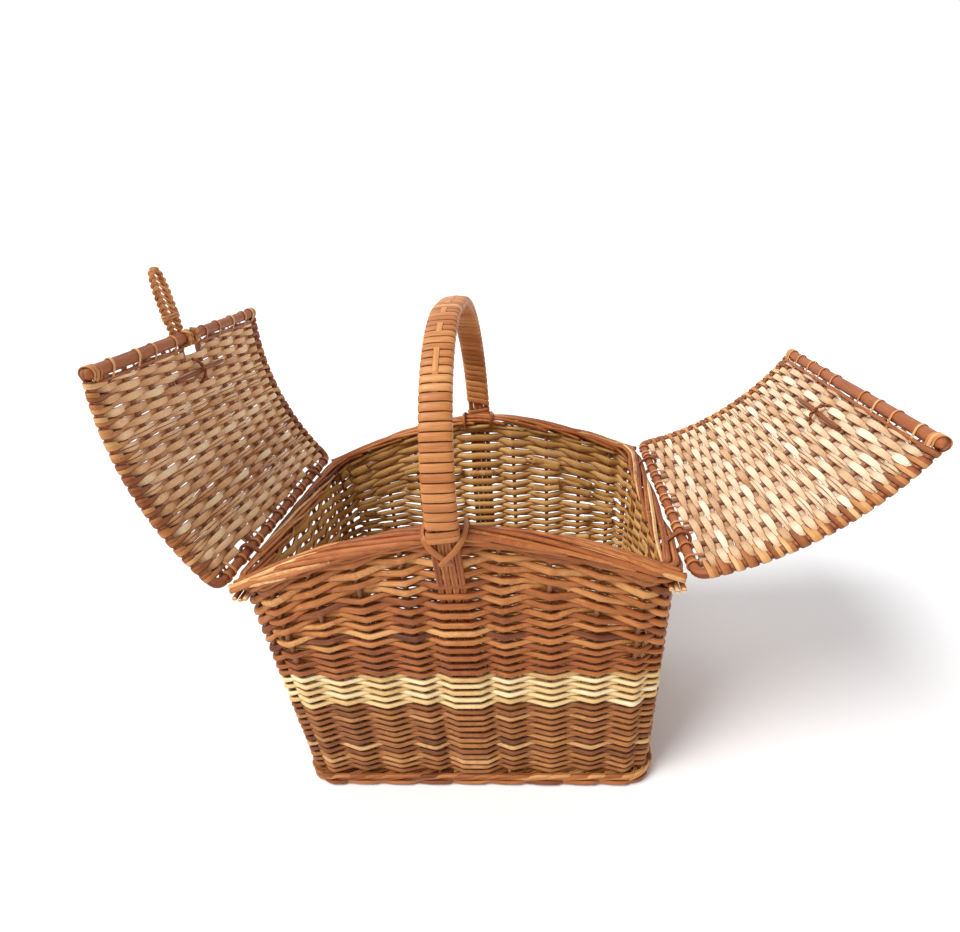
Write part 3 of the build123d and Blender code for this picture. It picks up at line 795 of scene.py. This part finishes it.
def wrapped_hoop():
    """The wrapped part of the handle's line, the way out of the hoop there, and distances along it."""
    line = handle_line(1 * MM)
    wrapped = line[line[:, 2] > hoop_low[2] + 1 * MM]
    ahead = unit(np.gradient(wrapped, axis=0))
    return wrapped, np.cross((1.0, 0.0, 0.0), ahead), np.arange(len(wrapped)) * 1 * MM


def handle_rods():
    bundle = Bundle()
    line = handle_line(5 * MM)
    places = np.arange(len(line)) * 5 * MM
    for i in range(4):
        x = HANDLE_ROD_PITCH * (i - 1.5)
        rod = line + np.array([x, 0, 0])
        rod[:, 0] += wander(places, 0.2, 0.25 * MM)
        size = HANDLE_ROD_RADIUS * RANDOM.uniform(0.94, 1.04)
        bundle.strand(rod, size, size, (1, 0, 0), RANDOM.uniform(0.3, 0.7), sides=12)
    bundle.build("handle_rods_visual", border_willow, "basket", "handle_rod", "handle_rods")


ACROSS = np.array([1.0, 0, 0])
WRAP_PITCH = 8.3 * MM


def handle_wrap():
    """Flat cane wound round the four rods, turn beside turn."""
    bundle = Bundle()
    wrapped, out, places = wrapped_hoop()
    turns = int(places[-1] / WRAP_PITCH)
    spin = np.linspace(0, turns * 2 * math.pi, turns * 22 + 1)
    # the cane steps to the next turn on the inside of the hoop, and lies square to it elsewhere
    part = spin / (2 * math.pi)
    step = np.floor(part) + smooth(part - np.floor(part), 0.62, 1.0)
    where = (step + 0.5) * (places[-1] / (turns + 1))
    across, deep = signed_power(np.cos(spin), 0.62), signed_power(np.sin(spin), 0.62)
    centre = np.stack([np.interp(where, places, wrapped[:, k]) for k in range(3)], 1)
    way = np.stack([np.interp(where, places, out[:, k]) for k in range(3)], 1)
    half_wide, half_deep = WRAP_HALF_WIDTH - 0.9 * MM, WRAP_HALF_DEPTH - 0.9 * MM
    path = centre + ACROSS * (across * half_wide)[:, None] + way * (deep * half_deep)[:, None]
    facing = ACROSS * (np.cos(spin) * half_deep)[:, None] + way * (np.sin(spin) * half_wide)[:, None]
    turn = np.round(part).astype(int)
    per_turn = RANDOM.normal(0, 0.13, turns + 2)
    nearest = np.clip((where / MM).astype(int), 0, len(places) - 1)
    tone = 0.5 + per_turn[turn] + wander(places, 0.15, 0.08)[nearest]
    width = 0.5 * WRAP_PITCH * (0.985 + 0.03 * RANDOM.normal(0, 0.5, turns + 2)[turn])
    bundle.strand(path, width, 1.35 * MM, unit(facing), np.clip(tone, 0, 1), sides=10, square=0.92)
    bundle.build("handle_wrapping", cane, "basket", "wrapping_cane", "handle_wrap")


def handle_leader():
    """A flat cane along the outside of the hoop that the wrapping passes over and under."""
    bundle = Bundle()
    wrapped, out, places = wrapped_hoop()
    middle = places[-1] / 2
    away = np.abs(places - middle)
    shown = np.zeros_like(places)
    for centre, reach in ((12, 6.5), (45, 6.5), (78, 6.5), (118, 13)):
        shown = np.maximum(shown, smooth(reach * MM - np.abs(away - centre * MM), -2.5 * MM, 1.5 * MM))
    keep = slice(int((middle - 0.15) / MM), int((middle + 0.15) / MM), 2)
    lift = WRAP_HALF_DEPTH - 1.6 * MM + 2.0 * MM * shown
    path = wrapped + out * lift[:, None]
    bundle.strand(path[keep], 2.9 * MM, 0.6 * MM, out[keep], 0.72, square=0.7)
    bundle.build("handle_leader_cane", cane, "basket", "wrapping_cane", "handle_leader")


handle_rods()
handle_wrap()
handle_leader()


TIE_WIDTH, TIE_THICKNESS = 2.9 * MM, 0.9 * MM


def handle_tie(side, name, node):
    """Cane that crosses over the border beside the leg and holds the leg's foot in a V."""
    bundle = Bundle()
    rim = middle_half(CROWN_HEIGHT)[1] / MM
    inner, outer = rim - 10.5, rim + 10.8
    leg = RIM_CROSSING / MM
    front = leg + HANDLE_ROD_RADIUS / MM + 1.2
    for hand in (-1, 1):
        lead = front + (1.1 if hand > 0 else 0)
        # across from the leg, out from the basket's middle, and up from the crown
        points = [(17, inner + 3, -9), (18, inner - 1, 0), (18.5, inner + 3, 7.6), (19, rim + 1, 8.6),
                  (18.5, outer + 1, 5), (15.5, front - 2, 0), (10, lead, -7), (2, lead - 2.2, -16),
                  (-5, lead - 4.6, -24)]
        line = curve_through([(hand * x * MM, side * y * MM, CROWN_HEIGHT + z * MM) for x, y, z in points], 7)
        rise = np.maximum(line[:, 2] - CROWN_HEIGHT, -4 * MM)
        facing = np.stack([line[:, 0] * 0.6, line[:, 1] - side * (rim - 1) * MM, rise * 1.2], 1)
        facing[len(facing) * 5 // 9:] = (0, side, 0.15)
        bundle.strand(line, TIE_WIDTH, TIE_THICKNESS, facing, 0.22, square=0.8)
    # the last turns of cane round the foot of the leg, a little slanted
    spin = np.linspace(0, 2 * math.pi, 40)[:-1]
    across, deep = signed_power(np.cos(spin), 0.6), signed_power(np.sin(spin), 0.6)
    for turn, height in enumerate((8.0, 2.5)):
        rise = height * MM + 1.4 * MM * across
        y = RIM_CROSSING + rise * 0.04 + deep * (HANDLE_ROD_RADIUS + 1.1 * MM)
        line = np.stack([across * (WRAP_HALF_WIDTH - 0.5 * MM), side * y, CROWN_HEIGHT + rise], 1)
        facing = np.stack([np.cos(spin), side * np.sin(spin) * 2, np.zeros_like(spin)], 1)
        tone = 0.25 + 0.1 * turn
        bundle.strand(line, 3.0 * MM, TIE_THICKNESS, facing, tone, closed=True, square=0.85)
    bundle.build(name, cane, "basket", "wrapping_cane", node)


handle_tie(-1, "front_tie", "front_handle_tie")
handle_tie(1, "rear_tie", "rear_handle_tie")


# ---------------------------------------------------------------- lids

LID_RISE = 20 * MM
LID_SIDE_Y = 154.5 * MM
RIB_PLACES = 31 * MM * (np.arange(10) - 4.5)
WEAVE_FROM_HINGE, WEAVE_FROM_FREE = 13 * MM, 7.5 * MM
HASP_NOTCH_HALF_WIDTH, HASP_NOTCH = 12.6 * MM, 18 * MM
LOOP_Y = 93 * MM
hinges = {joint["child"]: np.array(joint["pos_m"]) for joint in frame["joints"]}


class Lid:
    """The bowed surface of one lid: places on it are given from the hinge rod, across, and out."""

    def __init__(self, side):
        self.name = "left" if side < 0 else "right"
        self.body = self.name + "_lid"
        self.side = side
        self.hinge = hinges[self.body][[0, 2]]
        self.free = (sum(node_box(self.name + "_free_edge_rod")) / 2)[[0, 2]]
        chord = self.free - self.hinge
        self.chord = np.linalg.norm(chord)
        self.u = chord / self.chord
        self.n = np.array([-self.u[1], self.u[0]]) * -side
        self.bow = (self.chord ** 2 / 4 + LID_RISE ** 2) / (2 * LID_RISE)
        self.half = math.asin(self.chord / 2 / self.bow)
        self.length = 2 * self.half * self.bow

    def at(self, distance, y, out):
        """Points at a distance from the hinge rod along the bow, across, and out from its middle."""
        distance, y, out = np.broadcast_arrays(np.asarray(distance, float), y, out)
        angle = -self.half + distance / self.bow
        radius = self.bow + out
        along = self.chord / 2 + radius * np.sin(angle)
        rise = radius * np.cos(angle) - (self.bow - LID_RISE)
        flat = self.hinge + along[..., None] * self.u + rise[..., None] * self.n
        return np.stack([flat[..., 0], y, flat[..., 1]], -1)

    def way_out(self, distance):
        angle = -self.half + np.asarray(distance, float) / self.bow
        flat = np.sin(angle)[..., None] * self.u + np.cos(angle)[..., None] * self.n
        return np.stack([flat[..., 0], np.zeros_like(angle), flat[..., 1]], -1)

    def way_free(self, distance):
        angle = -self.half + np.asarray(distance, float) / self.bow
        flat = np.cos(angle)[..., None] * self.u - np.sin(angle)[..., None] * self.n
        return np.stack([flat[..., 0], np.zeros_like(angle), flat[..., 1]], -1)

    def way_round(self, distance, spin):
        """The way out of a loop round a rod, at the angles spin from the way to the free edge."""
        sine, cosine = np.sin(spin)[:, None], np.cos(spin)[:, None]
        return self.way_out(distance) * sine + self.way_free(distance) * cosine

    def build(self, bundle, piece, material, slot, *nodes):
        bundle.build(self.name + piece, material, self.body, slot, *[self.name + node for node in nodes])


SKEIN_THICKNESS = 0.75 * MM
SKEIN_TURN = 4.5 * MM               # radius of a skein's turn round a side rod
TURN_POINTS = 26


def skein_spans(lid, distance):
    """The stretches across the lid that a skein fills: not the hasp's notch, nor the hinge loops."""
    if lid.side < 0 and distance > lid.length - HASP_NOTCH:
        edge = HASP_NOTCH_HALF_WIDTH + 1 * MM
        return [(-LID_SIDE_Y, -edge), (edge, LID_SIDE_Y)]
    if distance < WEAVE_FROM_HINGE:
        near, far = LOOP_Y - 8 * MM, LOOP_Y + 8 * MM
        return [(-LID_SIDE_Y, -far), (-near, near), (far, LID_SIDE_Y)]
    return [(-LID_SIDE_Y, LID_SIDE_Y)]


def skein_row(bundle, wraps, lid, index, distance, pitch):
    """One split-willow skein: over and under the ribs, then round both side rods."""
    parity = index % 2
    crossings = np.r_[-LID_SIDE_Y, RIB_PLACES, LID_SIDE_Y]
    tone = float(np.clip(RANDOM.normal(0.55, 0.17), 0.05, 0.98))
    breadth = RANDOM.uniform(0.94, 1.06)
    split = RANDOM.random() < 0.28
    for low, high in skein_spans(lid, distance):
        y = np.arange(low + 3.0 * MM, high - 2.9 * MM, 2.6 * MM)
        phase = np.interp(y, crossings, np.arange(len(crossings))) + parity
        wave = np.cos(math.pi * phase)
        out = 3.0 * MM * signed_power(wave, 0.75)
        bulge = np.abs(wave) ** 0.7
        wide = pitch * (0.52 + 0.18 * bulge) * breadth * (1 + wander(y, 0.06, 0.03))
        place = distance + wander(y, 0.12, 0.3 * MM) + 0.07 * pitch * np.sin(math.pi * phase)
        # painted shade: the tone drops towards a skein's narrow points between ribs, where it goes under its
        # neighbours
        shade = tone + wander(y, 0.2, 0.07) + 0.30 * (bulge - 0.8)
        if not split:
            line = lid.at(place, y, out)
            bundle.strand(line, wide, SKEIN_THICKNESS, lid.way_out(place), shade, square=0.75)
            continue
        for half in (-1, 1):
            beside = place + half * wide * (0.48 + wander(y, 0.08, 0.05))
            line = lid.at(beside, y, out + half * 0.3 * MM)
            bundle.strand(line, wide * 0.5, 0.7 * MM, lid.way_out(beside), shade + 0.08 * half, 6, square=0.8)
    for end in (-1, 1):
        crossing = parity if end < 0 else parity + len(crossings) - 1
        face = 1 if crossing % 2 == 0 else -1
        drift = distance + np.linspace(-0.12, 0.5, TURN_POINTS) * pitch * (1 if parity else -1)
        shade = 0.12 if RANDOM.random() < 0.45 else tone + 0.1
        edge_turn(wraps, lid, end, face, drift, pitch * 0.5 * breadth, shade)


def edge_turn(wraps, lid, end, face, drift, width, shade):
    """A skein's turn round the side rod, from its face to the other face."""
    spin = np.linspace(-0.45, 1.3, TURN_POINTS) * math.pi
    before = spin < 0
    across = np.where(before, SKEIN_TURN * spin * 2.6, SKEIN_TURN * np.sin(spin))
    out = face * np.where(before, SKEIN_TURN - 1.0 * MM * np.abs(spin), SKEIN_TURN * np.cos(spin))
    facing = lid.way_out(drift) * np.where(before, face, out)[:, None]
    facing[:, 1] += np.where(before, 0.0, end * across)
    wide = np.full(TURN_POINTS, width)
    wide[-6:] *= np.linspace(0.95, 0.3, 6)
    wide[:5] *= np.linspace(0.45, 0.95, 5)
    line = lid.at(drift, end * (LID_SIDE_Y + across), out)
    wraps.strand(line, wide, SKEIN_THICKNESS, facing, shade, sides=6, square=0.85)


def lid_weaving(lid):
    bundle, wraps = Bundle(), Bundle()
    rows = 36
    first, last = WEAVE_FROM_HINGE + 3.0 * MM, lid.length - WEAVE_FROM_FREE - 3.4 * MM
    pitch = (last - first) / (rows - 1)
    for i in range(-1, rows):
        skein_row(bundle, wraps, lid, i, first + i * pitch + RANDOM.normal(0, 0.25) * MM, pitch)
    skein_willow = skein_willows[lid.side > 0]
    lid.build(bundle, "_skeins", skein_willow, "split_willow", "_lid_weave")
    lid.build(wraps, "_edge_turns", skein_willow, "split_willow", "_edge_wraps")


def lid_rods(lid):
    """The hinge rod with both side rods bent from one length, and the free edge rod."""
    bundle = Bundle()
    bend = 9 * MM
    up = np.arange(lid.length - 6.5 * MM, bend, -5 * MM)
    side = np.stack([up, np.full_like(up, LID_SIDE_Y)], 1)
    turn = np.linspace(0, math.pi / 2, 7)
    corner = np.stack([bend * (1 - np.sin(turn)), LID_SIDE_Y - bend * (1 - np.cos(turn))], 1)
    across = np.arange(LID_SIDE_Y - bend - 4 * MM, 0, -5 * MM)
    half = np.vstack([side, corner, np.stack([np.zeros_like(across), across], 1)])
    distance, y = np.vstack([half, (half * [1, -1])[::-1]]).T
    radius = 4.9 * MM - 1.1 * MM * smooth(distance, 0, 40 * MM)
    bundle.strand(lid.at(distance, y, 0.0), radius, radius, lid.way_out(distance), 0.5, sides=12)
    lid.build(bundle, "_bent_rod", thick_willow, "lid_rod", "_hinge_rod", "_side_rods")

    bundle = Bundle()
    half_long, rounded = 159 * MM, 6 * MM
    y = np.linspace(-half_long, half_long, 90)
    end = np.minimum(half_long + 0.6 * MM - np.abs(y), rounded) / rounded
    radius = 5.95 * MM * np.sqrt(np.clip(1 - (1 - end) ** 2, 0.02, 1))
    radius *= 0.985 - 0.02 * np.sin(y / (60 * MM))
    line = lid.at(lid.length + wander(y, 0.3, 0.15 * MM), y, 0.0)
    bundle.strand(line, radius, radius, lid.way_out(np.full_like(y, lid.length)), 0.55, sides=16)
    lid.build(bundle, "_edge_rod", thick_willow, "lid_rod", "_free_edge_rod")


def starting_rod(lid):
    """The thin rod beside the free edge rod, where the weaving ends."""
    bundle = Bundle()
    spans = [(-146, 146)] if lid.side > 0 else [(-146, -14), (14, 146)]
    for low, high in spans:
        y = np.arange(low, high, 5) * MM
        place = lid.length - 9.4 * MM + wander(y, 0.2, 0.4 * MM)
        bundle.strand(lid.at(place, y, -2.6 * MM), 1.7 * MM, 1.7 * MM, lid.way_out(place), 0.55)
    lid.build(bundle, "_starting_rod", thick_willow, "lid_rib")


def oval_tie(bundle, lid, middle, y, reach, radius, tone, lean, wide=1.7 * MM, towards=-1):
    """A cane loop round an edge rod that grips the weaving beside it."""
    spin = np.linspace(0, 2 * math.pi, 34)[:-1]
    near = np.cos(spin) * towards > 0
    along = radius * np.cos(spin) * np.where(near, 1 + reach / radius, 1.0)
    out = radius * np.sin(spin) * np.where(near, 1 - 0.32 * np.abs(np.cos(spin)), 1.0)
    distance = middle + along
    line = lid.at(distance, y + lean * np.sin(spin + 0.6), out)
    bundle.strand(line, wide, 0.55 * MM, lid.way_round(distance, spin), tone, 6, closed=True, square=0.8)


EDGE_TIE_RADIUS = 6.5 * MM


def lid_ties(lid):
    """Cane ties: along the free edge rod, along the hinge rod, and the lashings at the lid's corners."""
    bundle = Bundle()
    for node_y in (-124, -93, -62, -31, 31, 62, 93, 124):
        y = (node_y + RANDOM.uniform(-4, 4)) * MM
        tone, lean = RANDOM.uniform(0.35, 0.95), RANDOM.uniform(1, 3.2) * MM
        oval_tie(bundle, lid, lid.length, y, 6.5 * MM, EDGE_TIE_RADIUS, tone, lean)
    lid.build(bundle, "_free_edge_ties", cane, "wrapping_cane", "_rod_ties")

    bundle = Bundle()
    for y in (RIB_PLACES[:-1] + RIB_PLACES[1:]) / 2 - 5 * MM:
        if abs(abs(y) - LOOP_Y) > 10 * MM:
            tone, lean = RANDOM.uniform(0.3, 0.8), RANDOM.uniform(0.5, 2) * MM
            oval_tie(bundle, lid, 0.0, y, 7 * MM, 5.5 * MM, tone, lean, wide=2.0 * MM, towards=1)
    for rib in RIB_PLACES:
        # the rib's thinned end, turned once round the hinge rod beside it
        spin = np.linspace(-0.9, 0.9, 20) * math.pi
        radius = 5.9 * MM
        line = lid.at(radius * np.cos(spin), rib + 1.5 * MM * spin / math.pi, radius * np.sin(spin))
        facing = lid.way_round(np.zeros(20), spin)
        bundle.strand(line, 2.4 * MM, 0.75 * MM, facing, RANDOM.uniform(0.2, 0.5), sides=6, square=0.8)
    lid.build(bundle, "_hinge_rod_ties", cane, "wrapping_cane")

    bundle = Bundle()
    for side in (-1, 1):
        for turn in range(4):
            y = side * (LID_SIDE_Y - (7.6 - 2.5 * turn) * MM)
            reach = (4.5 if turn < 3 else 3.0) * MM
            tone, lean = RANDOM.uniform(0.3, 1.0), side * RANDOM.uniform(0.5, 1.8) * MM
            oval_tie(bundle, lid, lid.length, y, reach, EDGE_TIE_RADIUS, tone, lean, wide=1.4 * MM)
    lid.build(bundle, "_lashings", cane, "wrapping_cane", "_corner_lashings")


RING_RADIUS, RING_TWIST = 14 * MM, 0.95 * MM


def lid_staple(lid):
    """The closing ring, two thin rods twisted together, and the rod that holds it."""
    centre = sum(node_box(lid.name + "_staple_ring")) / 2
    bundle = Bundle()
    spin = np.linspace(0, 2 * math.pi, 73)[:-1]
    for strand in range(2):
        twist = 7 * spin + math.pi * strand
        radius = RING_RADIUS + RING_TWIST * np.cos(twist)
        sideways = RING_TWIST * np.sin(twist)
        line = centre + np.stack([radius * np.cos(spin), sideways, radius * np.sin(spin)], 1)
        facing = np.stack([np.cos(spin), np.zeros_like(spin), np.sin(spin)], 1)
        bundle.strand(line, 1.15 * MM, 1.15 * MM, facing, 0.35 + 0.2 * strand, sides=7, closed=True)
    lid.build(bundle, "_closing_ring", thick_willow, "loop_willow", "_staple_ring")

    low, high = node_box(lid.name + "_staple_rod")
    bundle = Bundle()
    y = np.linspace(low[1], high[1], 26)
    line = np.tile((low + high) / 2, (26, 1))
    line[:, 1] = y
    line += lid.way_free(np.full(26, lid.length - 38 * MM)) * wander(y, 0.06, 0.5 * MM)[:, None]
    radius = 2.4 * MM * (0.75 + 0.25 * np.sin(np.linspace(0.25, 2.9, 26)))
    bundle.strand(line, radius, radius, lid.way_out(np.full(26, lid.length)), 0.35, sides=9)
    lid.build(bundle, "_ring_rod", thick_willow, "lid_rib", "_staple_rod")


BORDER_HOLD = np.array([203, 261]) * MM         # where a loop goes round the border: x, z
LOOP_TURNS = 1.6
LOOP_RADIUS = 7.5 * MM


def hinge_loops(lid):
    """Stiff willow wound round the hinge rod and the border, one and a half times and a little more."""
    bundle = Bundle()
    hinge = lid.hinge
    apart = BORDER_HOLD * [lid.side, 1] - hinge
    span = np.linalg.norm(apart)
    axis = apart / span
    normal = np.array([-axis[1], axis[0]])
    turns = np.linspace(0, 2 * math.pi * LOOP_TURNS, 90)
    share = turns / turns[-1]
    shift = axis * (smooth(np.cos(turns), -0.25, 0.25) * span)[:, None]
    round_rod = LOOP_RADIUS * (axis * np.cos(turns)[:, None] + normal * np.sin(turns)[:, None])
    flat = hinge + shift + round_rod
    facing = np.stack([round_rod[:, 0], np.zeros(90), round_rod[:, 1]], 1)
    size = 1.75 * MM * (1.1 - 0.25 * share)
    for y in (-LOOP_Y, LOOP_Y):
        line = np.stack([flat[:, 0], y + (share - 0.5) * 3.4 * MM, flat[:, 1]], 1)
        bundle.strand(line, size, size, facing, 0.45, sides=9)
    bundle.build(lid.name + "_loops", thick_willow, "basket", "loop_willow", lid.name + "_hinge_loops")


LIDS = [Lid(-1), Lid(1)]
for lid in LIDS:
    lid_weaving(lid)
    lid_rods(lid)
    lid_ties(lid)
    lid_staple(lid)
    starting_rod(lid)
    hinge_loops(lid)


# ---------------------------------------------------------------- hasp

HASP_LENGTH = 77 * MM
HASP_LEAN = 6.0
HASP_LEG_Y = 6.75 * MM              # half the distance between the two legs' middles
HASP_PLATE = 9.8 * MM               # height of the legs over the middle of the edge rod
HASP_RING_RADIUS = 7.9 * MM
HASP_TIP = HASP_LENGTH - 3.3 * MM
PLAIT_PITCH = 19 * MM
SHUT_HINGE, SHUT_FREE = np.array([216, 271]) * MM, np.array([8, 333.5]) * MM    # x, z of a shut lid


def hasp_axes():
    """The hasp's own axes, along its legs, across it, and over its flat side, in the resting pose."""
    left = LIDS[0]
    shut = SHUT_HINGE - SHUT_FREE
    lean = math.atan2(left.u[1], left.u[0]) - math.atan2(-shut[1], shut[0]) + math.radians(HASP_LEAN)
    return np.array([[math.cos(lean), 0, math.sin(lean)], [0, 1.0, 0], [-math.sin(lean), 0, math.cos(lean)]])


def hairpin():
    """The plait's middle line: under the rod, round it, up one leg, over the tip and back."""
    ring = np.linspace(-1.35 * math.pi, 0, 26)
    radius = HASP_RING_RADIUS + smooth(ring, -0.5, 0.0) * (HASP_PLATE - HASP_RING_RADIUS)
    wound = np.stack([radius * np.sin(ring), np.full(26, -HASP_LEG_Y), radius * np.cos(ring)], 1)
    shoulder = HASP_TIP - HASP_LEG_Y
    leg = np.stack([np.linspace(2 * MM, shoulder, 40), np.full(40, -HASP_LEG_Y), np.full(40, HASP_PLATE)], 1)
    turn = np.linspace(-math.pi / 2, 0, 9)[1:]
    bend = [shoulder + HASP_LEG_Y * np.cos(turn), HASP_LEG_Y * np.sin(turn), np.full(8, HASP_PLATE)]
    half = np.vstack([wound[:-1], leg, np.stack(bend, 1)])
    return evenly(np.vstack([half, (half * [1, -1, 1])[::-1][1:]]), 1.0 * MM)


def hasp():
    """A three-strand plait folded into a hairpin, both legs wound round the left free edge rod."""
    pivot, axes = hinges["hasp"], hasp_axes()
    whole = hairpin()
    along = whole[:, 0]
    tangent = unit(np.gradient(whole, axis=0))
    up = np.where((along > 0)[:, None], [0.0, 0, 1.0], unit(whole * [1, 0, 1]))
    side = unit(np.cross(tangent, up))
    belly = smooth(along, 4 * MM, 28 * MM) * (1 - smooth(along, 48 * MM, 70 * MM))
    narrow = 1 - 0.55 * smooth(along, HASP_TIP - 12 * MM, HASP_TIP - 4 * MM)
    whole[:, 1] += np.sign(whole[:, 1]) * 1.3 * MM * belly
    size = 2.2 * MM * (0.65 + 0.35 * narrow + 0.2 * belly)
    bundle = Bundle()
    for strand in range(3):
        phase = 2 * math.pi * (np.arange(len(whole)) * MM / PLAIT_PITCH + strand / 3)
        sideways = 2.15 * MM * narrow * (1 + 0.45 * belly) * np.sin(phase)
        upward = 2.1 * MM * np.sin(2 * phase) * (0.4 + 0.6 * smooth(along, -2 * MM, 8 * MM))
        line = whole + side * sideways[:, None] + up * upward[:, None]
        bundle.strand(pivot + line @ axes, size, 1.5 * MM, up @ axes, 0.5 + 0.15 * strand)
    bundle.build("hasp_plaiting", plait_willow, "hasp", "plaited_willow", "hasp_plait")

    bundle = Bundle()
    spin = np.linspace(0, 2 * math.pi, 49)[:-1]
    wide, high = 13.6 * MM * signed_power(np.cos(spin), 0.5), 3.4 * MM * signed_power(np.sin(spin), 0.6)
    facing = np.stack([np.zeros(48), np.cos(spin) * 0.3, np.sin(spin)], 1)
    for turn in range(2):
        line = np.stack([(22.8 + 3.0 * turn) * MM + 0.05 * wide, wide, HASP_PLATE + high], 1)
        bundle.strand(pivot + line @ axes, 1.4 * MM, 0.5 * MM, facing @ axes, 0.5 + 0.2 * turn, sides=6,
                      closed=True, square=0.8)
    bundle.build("hasp_lashing", plait_willow, "hasp", "wrapping_cane", "hasp_binding")


hasp()


# ---------------------------------------------------------------- carried-over solids

for node in ("side_stakes", "corner_stakes", "base_sticks", "left_ribs", "right_ribs"):
    solid = frame["nodes"][node]
    solid.data.materials.clear()
    solid.data.materials.append(rib_willow if node.endswith("ribs") else stake_willow)


# ---------------------------------------------------------------- floor, light and camera

def floor():
    mesh = bpy.data.meshes.new("floor")
    corners = [(60 * x_side, 60 * y_side, 0) for x_side, y_side in ((-1, -1), (1, -1), (1, 1), (-1, 1))]
    mesh.from_pydata(corners, [], [(0, 1, 2, 3)])
    piece = bpy.data.objects.new("floor", mesh)
    bpy.context.collection.objects.link(piece)
    n = Nodes("floor_paper")
    n.shader.inputs["Base Color"].default_value = (0.92, 0.92, 0.93, 1)
    n.shader.inputs["Roughness"].default_value = 0.9
    n.shader.inputs["Specular IOR Level"].default_value = 0.2
    mesh.materials.append(n.material)


def studio():
    """A soft key light, and a room that is white behind the basket and dimmer elsewhere.

    The camera sees the room white on all sides."""
    floor()
    world = bpy.data.worlds.new("studio")
    world.use_nodes = True
    tree = world.node_tree
    place = tree.nodes.new("ShaderNodeTexCoord")
    parts = tree.nodes.new("ShaderNodeSeparateXYZ")
    span = tree.nodes.new("ShaderNodeMapRange")
    span.interpolation_type = "SMOOTHSTEP"
    dimmed, white = 0.43, 1.05
    for socket, value in zip(span.inputs[1:5], (0.0, 0.45, dimmed, white)):
        socket.default_value = value
    tree.links.new(place.outputs["Generated"], parts.inputs[0])
    tree.links.new(parts.outputs[1], span.inputs[0])
    seen = tree.nodes.new("ShaderNodeLightPath")
    strength = tree.nodes.new("ShaderNodeMix")
    strength.inputs[3].default_value = white
    tree.links.new(seen.outputs["Is Camera Ray"], strength.inputs[0])
    tree.links.new(span.outputs[0], strength.inputs[2])
    tree.links.new(strength.outputs[0], tree.nodes["Background"].inputs[1])
    tree.nodes["Background"].inputs[0].default_value = (1, 1, 1, 1)
    bpy.context.scene.world = world
    key = bpy.data.lights.new("key", "SUN")
    key.energy = 3.2
    key.angle = math.radians(32)
    holder = bpy.data.objects.new("key", key)
    holder.rotation_euler = Vector((0.62, 0.50, -1.05)).to_track_quat("-Z", "Y").to_euler()
    bpy.context.collection.objects.link(holder)
    bpy.context.scene.view_settings.view_transform = "Standard"


def camera():
    """A wide view from in front and above, slightly turned and rolled."""
    made = bpy.data.cameras.new("camera")
    made.sensor_width = 36
    made.lens = 23.35
    made.shift_x, made.shift_y = -0.0199, -0.0596
    made.clip_start = 0.02
    place = Matrix.Translation((0.0949, -0.6315, 0.5842))
    yaw, pitch, roll = (math.radians(angle) for angle in (-4.82, -17.83, -4.13))
    look = Vector((math.sin(yaw) * math.cos(pitch), math.cos(yaw) * math.cos(pitch), math.sin(pitch)))
    turn = look.to_track_quat("-Z", "Y").to_matrix().to_4x4()
    holder = bpy.data.objects.new("camera", made)
    holder.matrix_world = place @ turn @ Matrix.Rotation(roll, 4, "Z")
    bpy.context.collection.objects.link(holder)
    bpy.context.scene.camera = holder


studio()
camera()
